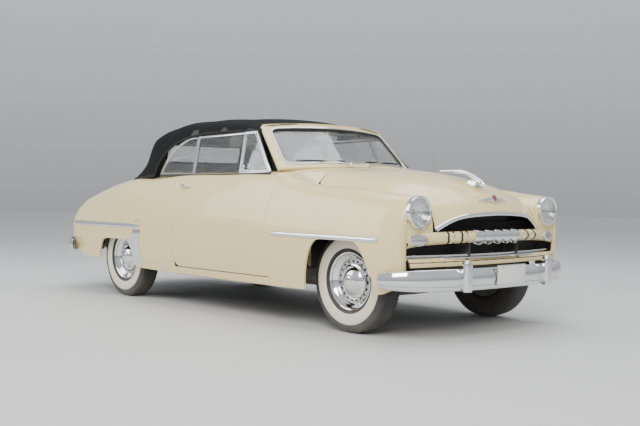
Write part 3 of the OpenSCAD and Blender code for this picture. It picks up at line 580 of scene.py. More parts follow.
def side_relief(p: Array, u: Array, v: Array) -> Array:
    """Pressed lines of the body side: the double belt line."""
    run = fade(p[:, 0], -1900, 1750, 300)
    belt = 3.2 * bell(v, 2.02, 0.10) - 1.6 * bell(v, 2.28, 0.12) + 1.8 * bell(v, 2.55, 0.10)
    return run * belt


SIDE = Net(np.array(TAIL + [cross_row(x, 3, 10) for x in SIDE_X] + NOSE, float), side_relief)
HOOD = Net(whole([[[(x := 935 + 75 * j * j / 9) + (1950 - x) * a,
                    *section(x + (1950 - x) * a, j)] for j in range(4)]
                  for a in (0, 0.2, 0.4, 0.6, 0.8, 1)] + HOOD_NOSE),
           lambda p, u, v: 3.0 * bell(p[:, 1], 0, 16) * fade(p[:, 0], 980, 2080, 60))
LID = Net(whole(LID_TAIL + [cross_row(x, 0, 3) for x in (-2180, -2090, -2000, -1825, -1650, -1535, -1420)]))
DECK = Net(whole([cross_row(x, 0, 3) for x in (-1412, -1330, -1250)]))
COWL = Net(whole([[[x, *section(x,
                                j)] for j in range(4) for x in [655 + (272 + 75 * j * j / 9) * a]] for a in (0, 0.5, 1)]))
TOP = Net(whole(TOP_ROWS), lambda p, u, v: top_relief(p))
LAST_U = len(SIDE.rows) - 1


def top_relief(p: Array) -> Array:
    """Cloth pulled over the bows: a low ridge at each bow, hollow between them."""
    x, over = p[:, 0], np.clip((p[:, 2] - 1250) / 150, 0, 1)
    ridges = sum(bell(x, c, 26) for c in (-1128, -690, -251, 149))
    hollow = sum(bell(x, c, 110) for c in (-900, -460, -50, 300))
    return over * (1.0 * ridges - 7.0 * hollow) - 1.5


_U_DENSE = np.linspace(2.6, 27.2, 2400)
_X_DENSE = SIDE.base(_U_DENSE, np.full(2400, 4.0))[:, 0]


def side_u(x: Array) -> Array:
    """Row place of station x on the body side, away from the nose and tail."""
    return np.interp(x, _X_DENSE, _U_DENSE)


def side_v(x: float, z: float) -> float:
    """Column place on the body side at station x and height z."""
    v = np.linspace(2.2, 7.0, 240)
    p = SIDE.base(np.full(240, float(side_u(x))), v)
    return float(np.interp(-z, -p[:, 2], v))


def side_path(points: Sequence[Sequence[float]], count: int, lift: float = 0.0) -> tuple[Array, Array]:
    """A curve on the body side.

    Args:
        points: stations and heights that it passes through.
        count: how many points to give.
        lift: how far it stands off the surface.
    Returns:
        Its points and their outward directions.
    """
    c = curve(points, count)
    u = side_u(c[:, 0])
    v = np.array([side_v(a, b) for a, b in c])
    p, n = SIDE.patch(u, v)
    return p + n * lift, n


# ---------------------------------------------------------------- meshes
def mesh_object(name: str, verts: Array, faces: Sequence[Sequence[int]], finishes: Sequence[Finish],
                face_finish: Sequence[int] | None = None, normals: Array | None = None,
                sharp: float = 35.0) -> bpy.types.Object:
    """Makes a mesh object at the origin.

    Args:
        name: piece name.
        verts: points in metres.
        faces: corner lists, counter-clockwise from outside.
        finishes: finishes in slot order.
        face_finish: slot of each face.
        normals: one direction for each face corner, for smooth shading.
        sharp: angle in degrees past which an edge is sharp, where no normals are given.
    Returns:
        The object, linked to the scene.
    """
    mesh = bpy.data.meshes.new(name)
    mesh.from_pydata([tuple(v) for v in np.asarray(verts, float)], [],
                     [tuple(int(i) for i in f) for f in faces])
    for finish in finishes:
        mesh.materials.append(finish.material())
    if face_finish is not None:
        mesh.polygons.foreach_set("material_index", np.asarray(face_finish, np.int32))
    mesh.polygons.foreach_set("use_smooth", np.ones(len(mesh.polygons), bool))
    if normals is not None:
        mesh.normals_split_custom_set([tuple(n) for n in normals])
    else:
        mesh.set_sharp_from_angle(angle=math.radians(sharp))
    mesh.update()
    obj = bpy.data.objects.new(name, mesh)
    bpy.context.scene.collection.objects.link(obj)
    return obj


def join(name: str, parts: Sequence[bpy.types.Object]) -> bpy.types.Object:
    """Joins plain mesh objects into the first, under a new name."""
    with bpy.context.temp_override(active_object=parts[0], selected_editable_objects=list(parts)):
        bpy.ops.object.join()
    parts[0].name = parts[0].data.name = name
    return parts[0]


def mirrored(obj: bpy.types.Object, name: str) -> bpy.types.Object:
    """A copy of a piece on the other side of the car, faces still outward."""
    mesh = obj.data
    count = len(mesh.loops)
    normals = np.empty(count * 3, np.float32)
    mesh.corner_normals.foreach_get("vector", normals)
    normals = normals.reshape(-1, 3) * (1, -1, 1)
    verts = np.empty(len(mesh.vertices) * 3)
    mesh.vertices.foreach_get("co", verts)
    verts = verts.reshape(-1, 3) * (1, -1, 1)
    faces, ordered = [], []
    for poly in mesh.polygons:
        loops = list(poly.loop_indices)
        loops = [loops[0]] + loops[:0:-1]
        faces.append([mesh.loops[k].vertex_index for k in loops])
        ordered.extend(loops)
    other = mesh_object(name, verts, faces, (), [p.material_index for p in mesh.polygons], normals[ordered])
    for slot in mesh.materials:
        other.data.materials.append(slot)
    other.data.polygons.foreach_set("material_index",
                                    np.array([p.material_index for p in mesh.polygons], np.int32))
    return other


def grid_faces(n: int, m: int) -> Array:
    """Quads of an n by m grid, counter-clockwise seen from outside."""
    i, j = np.meshgrid(np.arange(n - 1), np.arange(m - 1), indexing="ij")
    a = (i * m + j).ravel()
    return np.stack([a, a + m, a + m + 1, a + 1], 1)


def skin(name: str, outer: Array, facing: Array, inner: Array | float, finish: Sequence[Finish],
         keep: Array | None = None) -> bpy.types.Object:
    """A closed panel between an outer grid and an inner one.

    Args:
        name: piece name.
        outer: grid of outer points in millimetres at stations.
        facing: outward directions.
        inner: the inner grid, or a thickness.
        finish: one or two finishes, the second for the inside.
        keep: which grid cells stay.
    Returns:
        The piece.
    """
    n, m = outer.shape[:2]
    quads = grid_faces(n, m)
    if keep is not None:
        quads = quads[keep.ravel()]
    inside = outer - facing * inner if isinstance(inner, (int, float)) else inner
    s = n * m
    verts = np.concatenate([world(outer).reshape(-1, 3), world(inside).reshape(-1, 3)])
    p, q = quads[:, [0, 1, 2, 3]].ravel(), quads[:, [1, 2, 3, 0]].ravel()
    forward = set(zip(p.tolist(), q.tolist()))
    rim = np.array([e for e in forward if (e[1], e[0]) not in forward], int).reshape(-1, 2)
    walls = np.stack([rim[:, 1], rim[:, 0], rim[:, 0] + s, rim[:, 1] + s], 1)
    back = quads[:, ::-1] + s
    faces = np.concatenate([quads, back, walls])
    flat = facing.reshape(-1, 3)
    away = unit(np.cross(verts[rim[:, 1]] - verts[rim[:, 0]], flat[rim[:, 0]]))
    top = unit(away + 0.7 * flat[rim[:, 0]])
    wall_n = np.stack([top, top, away, away], 1).reshape(-1, 3)
    inner_n = -flat if isinstance(inner, (int, float)) else -grid_facing(inside)
    normals = np.concatenate([flat[quads.ravel()], inner_n[(back - s).ravel()], wall_n])
    slots = np.zeros(len(faces), int)
    slots[len(quads):len(quads) * 2] = len(finish) - 1
    used = np.unique(faces)
    renumber = np.full(len(verts), -1)
    renumber[used] = np.arange(len(used))
    return mesh_object(name, verts[used], renumber[faces], finish, slots, normals)


def grid_facing(p: Array) -> Array:
    """Directions of a grid from its own points, flat list."""
    a, b = np.gradient(p, axis=0), np.gradient(p, axis=1)
    return unit(np.cross(a, b)).reshape(-1, 3)


def inside_outline(q: Array, outline: Array) -> Array:
    """Which of the flat points lie inside a closed outline."""
    x, y = q[:, 0][:, None], q[:, 1][:, None]
    a, b = outline, np.roll(outline, -1, axis=0)
    crosses = (a[:, 1] > y) != (b[:, 1] > y)
    with np.errstate(divide="ignore", invalid="ignore"):
        cut = (b[:, 0] - a[:, 0]) * (y - a[:, 1]) / (b[:, 1] - a[:, 1]) + a[:, 0]
    return (crosses & (x < cut)).sum(1) % 2 == 1


def trim(q: Array, outline: Array, keep: Array | None = None, inside: bool = False) -> tuple[Array, Array]:
    """Cuts an opening out of a grid and draws its edge onto the outline.

    Args:
        q: grid of flat places, last axis two.
        outline: closed outline in the same plane.
        keep: cells that stay so far.
        inside: keeps what is inside the outline and drops the rest.
    Returns:
        The moved flat places and the cells that stay.
    """
    n, m = q.shape[:2]
    keep = np.ones((n - 1, m - 1), bool) if keep is None else keep.copy()
    mid = (q[:-1, :-1] + q[1:, :-1] + q[1:, 1:] + q[:-1, 1:]) / 4
    within = inside_outline(mid.reshape(-1, 2), outline).reshape(n - 1, m - 1)
    drop = ~within if inside else within
    touched = [np.zeros((n, m), bool), np.zeros((n, m), bool)]
    for k, cells in enumerate((drop, ~drop & keep)):
        for a in (0, 1):
            for b in (0, 1):
                touched[k][a:n - 1 + a, b:m - 1 + b] |= cells
    edge = np.argwhere(touched[0] & touched[1])
    a, b = outline, np.roll(outline, -1, axis=0)
    d = b - a
    moved = q.copy()
    for i, j in edge:
        t = np.clip(((q[i, j] - a) * d).sum(1) / np.maximum((d * d).sum(1), 1e-9), 0, 1)
        near = a + t[:, None] * d
        moved[i, j] = near[np.argmin(((near - q[i, j]) ** 2).sum(1))]
    return moved, keep & ~drop


def cut_side(p: Array, n: Array, outline: Array, keep: Array | None = None, axes: tuple[int, int] = (0, 2),
             inside: bool = False) -> tuple[Array, Array]:
    """Trims a surface grid by an outline seen along the third axis, sliding its edge along the surface."""
    third = 3 - sum(axes)
    q, keep = trim(p[..., list(axes)], outline, keep, inside)
    d = q - p[..., list(axes)]
    out = p.copy()
    out[..., axes[0]] += d[..., 0]
    out[..., axes[1]] += d[..., 1]
    slope = np.where(np.abs(n[..., third]) < 0.15, 0.15, n[..., third])
    out[..., third] -= (n[..., axes[0]] * d[..., 0] + n[..., axes[1]] * d[..., 1]) / slope
    return out, keep


def rounded(points: Sequence[Sequence[float]], passes: int = 3, closed: bool = True) -> Array:
    """An outline with its corners cut back until they are smooth."""
    p = np.array(points, float)
    for _ in range(passes):
        a, b = (p, np.roll(p, -1, axis=0)) if closed else (p[:-1], p[1:])
        q = np.stack([a * 0.75 + b * 0.25, a * 0.25 + b * 0.75], 1).reshape(-1, p.shape[1])
        p = q if closed else np.concatenate([p[:1], q, p[-1:]])
    return p


def filleted(points: Sequence[Sequence[float]], radius: float, steps: int = 6) -> Array:
    """A closed outline whose corners become arcs of about the radius."""
    p = np.array(points, float)
    out = []
    for k in range(len(p)):
        a, b, c = p[k - 1], p[k], p[(k + 1) % len(p)]
        u, v = unit(a - b), unit(c - b)
        cut = min(radius, 0.45 * np.linalg.norm(a - b), 0.45 * np.linalg.norm(c - b))
        s, e = b + u * cut, b + v * cut
        for t in np.linspace(0, 1, steps):
            out.append((1 - t) ** 2 * s + 2 * t * (1 - t) * b + t * t * e)
    return np.array(out)


def sweep(name: str, path: Array, out: Array, profile: Sequence[Sequence[float]], finish: Finish,
          closed: bool = False,
          grow: Array | None = None, sharp: float = 35.0) -> bpy.types.Object:
    """Draws a closed profile along a path.

    Args:
        name: piece name.
        path: points in metres.
        out: direction that the profile's second axis takes at each point.
        profile: closed outline in metres, across and outward.
        finish: finish of the piece.
        closed: joins the end to the start.
        grow: size factor at each point, or two of them.
        sharp: angle of a sharp edge in degrees.
    Returns:
        The piece.
    """
    path, out, pr = np.asarray(path, float), np.asarray(out, float), np.array(profile, float)
    k, m = len(path), len(pr)
    along = unit(np.roll(path, -1, 0) - np.roll(path, 1, 0)) if closed else unit(np.gradient(path, axis=0))
    across = unit(np.cross(along, out))
    up = unit(np.cross(across, along))
    g = np.ones((k, 2)) if grow is None else np.asarray(grow, float).reshape(k, -1) * np.ones((k, 2))
    v = (path[:, None] + across[:, None] * (pr[None, :, :1] * g[:, None, :1]) + up[:,
            None] * (pr[None, :, 1:] * g[:, None, 1:]))
    verts = v.reshape(-1, 3)
    i, j = np.meshgrid(np.arange(k if closed else k - 1), np.arange(m), indexing="ij")
    a, b = (i * m + j).ravel(), (i * m + (j + 1) % m).ravel()
    c, d = ((i + 1) % k * m + (j + 1) % m).ravel(), ((i + 1) % k * m + j).ravel()
    faces = np.stack([a, b, c, d], 1).tolist()
    if not closed:
        faces += [list(range(m))[::-1], list(range((k - 1) * m, k * m))]
    obj = mesh_object(name, verts, faces, (finish,), sharp=sharp)
    outward(obj, sharp)
    return obj


def outward(obj: bpy.types.Object, sharp: float = 35.0) -> None:
    """Merges doubles and points every face outwards."""
    bm = bmesh.new()
    bm.from_mesh(obj.data)
    bmesh.ops.remove_doubles(bm, verts=bm.verts, dist=1e-6)
    bmesh.ops.recalc_face_normals(bm, faces=bm.faces)
    bm.to_mesh(obj.data)
    bm.free()
    obj.data.set_sharp_from_angle(angle=math.radians(sharp))


def tube(name: str, path: Array, radius: float, finish: Finish, closed: bool = False, sides: int = 12,
         grow: Array | None = None) -> bpy.types.Object:
    """A round bar along a path in metres."""
    path = np.asarray(path, float)
    along = unit(np.gradient(path, axis=0))
    flat = np.abs(along[:, 2]) < 0.9
    out = np.where(flat[:, None], (0.0, 0.0, 1.0), (1.0, 0.0, 0.0))
    if flat.any() and not flat.all():
        out = np.tile(unit(np.cross(along.mean(0) + (0.01, 0.02, 0), (0.3, 1.0, 0.1))), (len(path), 1))
    a = np.linspace(0, 2 * math.pi, sides, endpoint=False)
    ring = np.stack([np.cos(a), np.sin(a)], 1) * radius
    return sweep(name, path, out, ring, finish, closed, grow, 60.0)


def lathe(name: str, profile: Sequence[Sequence[float]], centre: Sequence[float], axis: Sequence[float],
          finishes: Sequence[Finish],
          slots: Sequence[int] | None = None, count: int = 96, sharp: float = 35.0) -> bpy.types.Object:
    """Turns a profile about an axis.

    Args:
        name: piece name.
        profile: radius and place along the axis, in metres.
        centre: a point on the axis.
        axis: its direction.
        finishes: finishes in slot order.
        slots: slot of each profile segment.
        count: steps round.
        sharp: angle of a sharp edge in degrees.
    Returns:
        The piece.
    """
    pr = np.array(profile, float)
    ax = unit(np.array(axis, float))
    side = unit(np.cross(ax, (0.0, 0.0, 1.0) if abs(ax[2]) < 0.9 else (1.0, 0.0, 0.0)))
    third = np.cross(ax, side)
    a = np.linspace(0, 2 * math.pi, count, endpoint=False)
    ring = np.cos(a)[:, None] * side + np.sin(a)[:, None] * third
    verts = (np.array(centre, float) + ring[:, None] * pr[None, :, :1] + ax * pr[None, :, 1:]).reshape(-1, 3)
    m = len(pr)
    i, j = np.meshgrid(np.arange(count), np.arange(m - 1), indexing="ij")
    k = (i + 1) % count
    faces = np.stack([(i * m + j).ravel(), (k * m + j).ravel(), (k * m + j + 1).ravel(),
                      (i * m + j + 1).ravel()], 1)
    where = None if slots is None else np.tile(np.asarray(slots), count)
    obj = mesh_object(name, verts, faces, finishes, where, sharp=sharp)
    bm = bmesh.new()
    bm.from_mesh(obj.data)
    bmesh.ops.remove_doubles(bm, verts=bm.verts, dist=1e-6)
    bmesh.ops.dissolve_degenerate(bm, dist=1e-7, edges=bm.edges)
    bmesh.ops.holes_fill(bm, edges=[e for e in bm.edges if e.is_boundary], sides=0)
    bmesh.ops.recalc_face_normals(bm, faces=bm.faces)
    bm.to_mesh(obj.data)
    bm.free()
    obj.data.set_sharp_from_angle(angle=math.radians(sharp))
    return obj


def block(name: str, lo: Sequence[float], hi: Sequence[float], finish: Finish, bevel: float = 0.003,
          steps: int = 2) -> bpy.types.Object:
    """A box between two corners in metres, with rounded edges."""
    bm = bmesh.new()
    bmesh.ops.create_cube(bm, size=1.0)
    lo, hi = np.minimum(lo, hi), np.maximum(lo, hi)
    for v in bm.verts:
        v.co = tuple((lo + hi) / 2 + np.array(v.co) * (hi - lo))
    if bevel:
        bmesh.ops.bevel(bm, geom=bm.edges, offset=min(bevel, 0.45 * float((hi - lo).min())), segments=steps,
                        affect="EDGES", profile=0.5)
    mesh = bpy.data.meshes.new(name)
    bm.to_mesh(mesh)
    bm.free()
    return finish_mesh(name, mesh, finish)


def finish_mesh(name: str, mesh: bpy.types.Mesh, finish: Finish, sharp: float = 40.0) -> bpy.types.Object:
    """Links a mesh as a smooth piece with one finish."""
    mesh.materials.clear()
    mesh.materials.append(finish.material())
    mesh.polygons.foreach_set("use_smooth", np.ones(len(mesh.polygons), bool))
    mesh.set_sharp_from_angle(angle=math.radians(sharp))
    obj = bpy.data.objects.new(name, mesh)
    bpy.context.scene.collection.objects.link(obj)
    return obj


def slab_of(name: str, outline: Array, normal: Sequence[float], thick: float, finish: Finish,
            bevel: float = 0.0) -> bpy.types.Object:
    """A flat plate from an outline of points in metres.

    Args:
        name: piece name.
        outline: its corners.
        normal: direction in which it has its thickness, both ways.
        thick: whole thickness.
        finish: its finish.
        bevel: rounding of its edges.
    Returns:
        The piece.
    """
    p, n = np.asarray(outline, float), unit(np.array(normal, float))
    k = len(p)
    verts = np.concatenate([p + n * thick / 2, p - n * thick / 2])
    faces = [list(range(k)), list(range(2 * k - 1, k - 1, -1))] + [[i, i + k, (i + 1) % k + k,
            (i + 1) % k] for i in range(k)]
    obj = mesh_object(name, verts, faces, (finish,))
    bm = bmesh.new()
    bm.from_mesh(obj.data)
    bmesh.ops.recalc_face_normals(bm, faces=bm.faces)
    if bevel:
        rim = [e for e in bm.edges if len(e.link_faces) == 2 and e.calc_face_angle(0) > 1.0]
        bmesh.ops.bevel(bm, geom=rim, offset=bevel, segments=2, affect="EDGES", profile=0.5)
    bm.to_mesh(obj.data)
    bm.free()
    obj.data.set_sharp_from_angle(angle=math.radians(35))
    return obj


def dome(name: str, centre: Array, facing: Array, along: Array, half: tuple[float, float, float],
         finish: Finish,
         power: float = 1.0, rings: int = 10, count: int = 40) -> bpy.types.Object:
    """A closed low dome of oval outline.

    Args:
        name: piece name.
        centre: middle of its base.
        facing: direction of its crown.
        along: direction of its long axis.
        half: half length, half width and height.
        finish: its finish.
        power: 1 is an ellipse, less is nearer a pointed eye.
        rings: steps from rim to crown.
        count: steps round.
    Returns:
        The piece.
    """
    z = unit(np.asarray(facing, float))
    x = unit(np.asarray(along, float) - z * np.dot(along, z))
    y = np.cross(z, x)
    a = np.linspace(0, 2 * math.pi, count, endpoint=False)
    cx, cy = (np.sign(np.cos(a)) * np.abs(np.cos(a)) ** power,
              np.sign(np.sin(a)) * np.abs(np.sin(a)) ** (2 - power))
    verts = []
    for t in np.linspace(0, math.pi / 2, rings):
        r, h = math.cos(t), math.sin(t)
        verts.append(centre + x * (half[0] * r * cx)[:, None] + y * (half[1] * r * cy)[:,
                None] + z * half[2] * h)
    verts = np.concatenate(verts)
    faces = [list(range(count))[::-1]]
    for i in range(rings - 1):
        for j in range(count):
            k = (j + 1) % count
            faces.append([i * count + j, i * count + k, (i + 1) * count + k, (i + 1) * count + j])
    obj = mesh_object(name, verts, faces, (finish,))
    outward(obj)
    return obj


# ---------------------------------------------------------------- repeated pieces
class Bit(Enum):
    """The small shapes that are repeated."""

    PEG = "peg"
    BEAD = "bead"
    BAR = "bar"


def row_tree(bit: Bit, finish: Finish) -> bpy.types.NodeTree:
    """A node tree that sets small pieces along a polyline, facing its `facing` attribute.

    Args:
        bit: which small shape.
        finish: finish of the pieces.
    Returns:
        The tree, with inputs Pitch, Length, Width and Height.
    """
    tree = bpy.data.node_groups.new(f"row_of_{bit.value}", "GeometryNodeTree")
    tree.interface.new_socket("Geometry", in_out="INPUT", socket_type="NodeSocketGeometry")
    for name in ("Pitch", "Length", "Width", "Height"):
        tree.interface.new_socket(name, in_out="INPUT", socket_type="NodeSocketFloat").default_value = 0.01
    tree.interface.new_socket("Geometry", in_out="OUTPUT", socket_type="NodeSocketGeometry")
    g = Graph(tree)
    i, o = g.add("NodeGroupInput"), g.add("NodeGroupOutput")
    line = g.add("GeometryNodeMeshToCurve")
    g.join(i.outputs["Geometry"], line, "Mesh")
    even = g.add("GeometryNodeResampleCurve", mode="LENGTH")
    g.join(line.outputs[0], even, "Curve")
    g.join(i.outputs["Pitch"], even, "Length")
    facing = g.add("GeometryNodeInputNamedAttribute", {"Name": "facing"}, data_type="FLOAT_VECTOR")
    tangent = g.add("GeometryNodeInputTangent")
    first = g.add("FunctionNodeAlignRotationToVector", axis="Z")
    g.join(facing.outputs[0], first, "Vector")
    second = g.add("FunctionNodeAlignRotationToVector", axis="X", pivot_axis="Z")
    g.join(first.outputs[0], second, "Rotation")
    g.join(tangent.outputs[0], second, "Vector")
    size = g.add("ShaderNodeCombineXYZ")
    for k, name in enumerate(("Length", "Width", "Height")):
        g.join(i.outputs[name], size, k)
    if bit is Bit.PEG:
        shape = g.add("GeometryNodeMeshCylinder", {"Vertices": 12, "Radius": 0.5, "Depth": 1.0})
    elif bit is Bit.BEAD:
        shape = g.add("GeometryNodeMeshUVSphere", {"Segments": 10, "Rings": 6, "Radius": 0.5})
    else:
        shape = g.add("GeometryNodeMeshCube")
    put = g.add("GeometryNodeInstanceOnPoints")
    g.join(even.outputs[0], put, "Points")
    g.join(shape.outputs[0], put, "Instance")
    g.join(second.outputs[0], put, "Rotation")
    g.join(size.outputs[0], put, "Scale")
    real = g.add("GeometryNodeRealizeInstances")
    g.join(put.outputs[0], real, 0)
    dressed = g.add("GeometryNodeSetMaterial")
    dressed.inputs["Material"].default_value = finish.material()
    g.join(real.outputs[0], dressed, "Geometry")
    g.join(dressed.outputs[0], o, 0)
    return tree


def row(name: str, paths: Sequence[tuple[Array, Array]], bit: Bit, size: tuple[float, float, float],
        pitch: float,
        finish: Finish) -> bpy.types.Object:
    """Sets repeated pieces along paths by a node tree, and keeps the plain mesh.

    Args:
        name: piece name.
        paths: points in metres with the direction that the pieces face.
        bit: the small shape.
        size: its length along the path, width and height.
        pitch: distance between pieces.
        finish: their finish.
    Returns:
        The piece.
    """
    verts, edges, faces_to = [], [], []
    for path, out in paths:
        start = len(verts)
        verts += [tuple(p) for p in np.asarray(path, float)]
        faces_to += [tuple(n) for n in np.asarray(out, float)]
        edges += [(start + k, start + k + 1) for k in range(len(path) - 1)]
    mesh = bpy.data.meshes.new(name + "_line")
    mesh.from_pydata(verts, edges, [])
    attribute = mesh.attributes.new("facing", "FLOAT_VECTOR", "POINT")
    attribute.data.foreach_set("vector", np.array(faces_to, np.float32).ravel())
    line = bpy.data.objects.new(name + "_line", mesh)
    bpy.context.scene.collection.objects.link(line)
    tree = row_tree(bit, finish)
    modifier = line.modifiers.new("row", "NODES")
    values = dict(zip(("Pitch", "Length", "Width", "Height"), (pitch, *size)))
    for item in tree.interface.items_tree:
        if item.item_type == "SOCKET" and item.in_out == "INPUT" and item.name in values:
            item.default_value = values[item.name]
    modifier.node_group = tree
    for item in tree.interface.items_tree:
        if item.item_type == "SOCKET" and item.in_out == "INPUT" and item.name in values:
            modifier[item.identifier] = float(values[item.name])
    bpy.context.view_layer.update()
    ready = line.evaluated_get(bpy.context.evaluated_depsgraph_get())
    made = bpy.data.meshes.new_from_object(ready)
    bpy.data.objects.remove(line)
    return finish_mesh(name, made, finish)


def ring_path(centre: Sequence[float], radius: float, axis: int, count: int, facing: float = 1.0,
              phase: float = 0.0) -> tuple[Array, Array]:
    """A closed circle about a main axis, with its pieces facing along that axis."""
    a = np.linspace(0, 2 * math.pi, count * 4 + 1) + phase
    p = np.tile(np.array(centre, float), (len(a), 1))
    b, c = [k for k in range(3) if k != axis]
    p[:, b] += radius * np.cos(a)
    p[:, c] += radius * np.sin(a)
    n = np.zeros_like(p)
    n[:, axis] = facing
    return p[:-1], n[:-1]


def place(obj: bpy.types.Object, body: str, *nodes: str, slot: str | None = None) -> bpy.types.Object:
    """Makes a piece ride on a body and stand for CAD nodes, and reports it."""
    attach(obj, body)
    if nodes:
        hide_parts(*nodes)
    LOG.info("%s on %s, %d faces", obj.name, body, len(obj.data.polygons))
    return obj


# ---------------------------------------------------------------- painted body
def front_opening() -> Array:
    """Wheel opening of the front fender, station and height."""
    x = XF - DATUM
    half = [(352, 120), (344, 300), (300, 470), (225, 612), (150, 640)]
    pts = [(x - a, b) for a, b in half] + [(x + a, b) for a, b in half[::-1]]
    return rounded(pts, 3)


def rear_opening() -> Array:
    """Wheel opening of the quarter panel, station and height."""
    x = XR - DATUM
    pts = [(-400, 120), (-358, 330), (-310, 430), (-245, 500), (-170, 520), (165, 520), (225, 496),
           (270, 420), (292, 330), (330, 120)]
    return rounded([(x + a, b) for a, b in pts], 3)


def door_front(v: Array) -> Array:
    """Station of the door's front edge down the body side."""
    return np.interp(v, [1.0, 1.3, 1.6, 2.0, 2.4, 2.8, 3.2, 3.6, 4.2, 5.0, 6.0, 6.4, 7.0],
                     [745, 757, 775, 806, 838, 858, 860, 850, 832, 816, 811, 822, 845])


def packed(a: float, b: float, n: int, hard: float = 0.0) -> Array:
    """Even steps from a to b, with a short first and last step."""
    s = np.linspace(0, 1, n)
    if hard:
        s = np.sort(np.concatenate([s, [hard, 1 - hard]]))
    return a + (b - a) * s


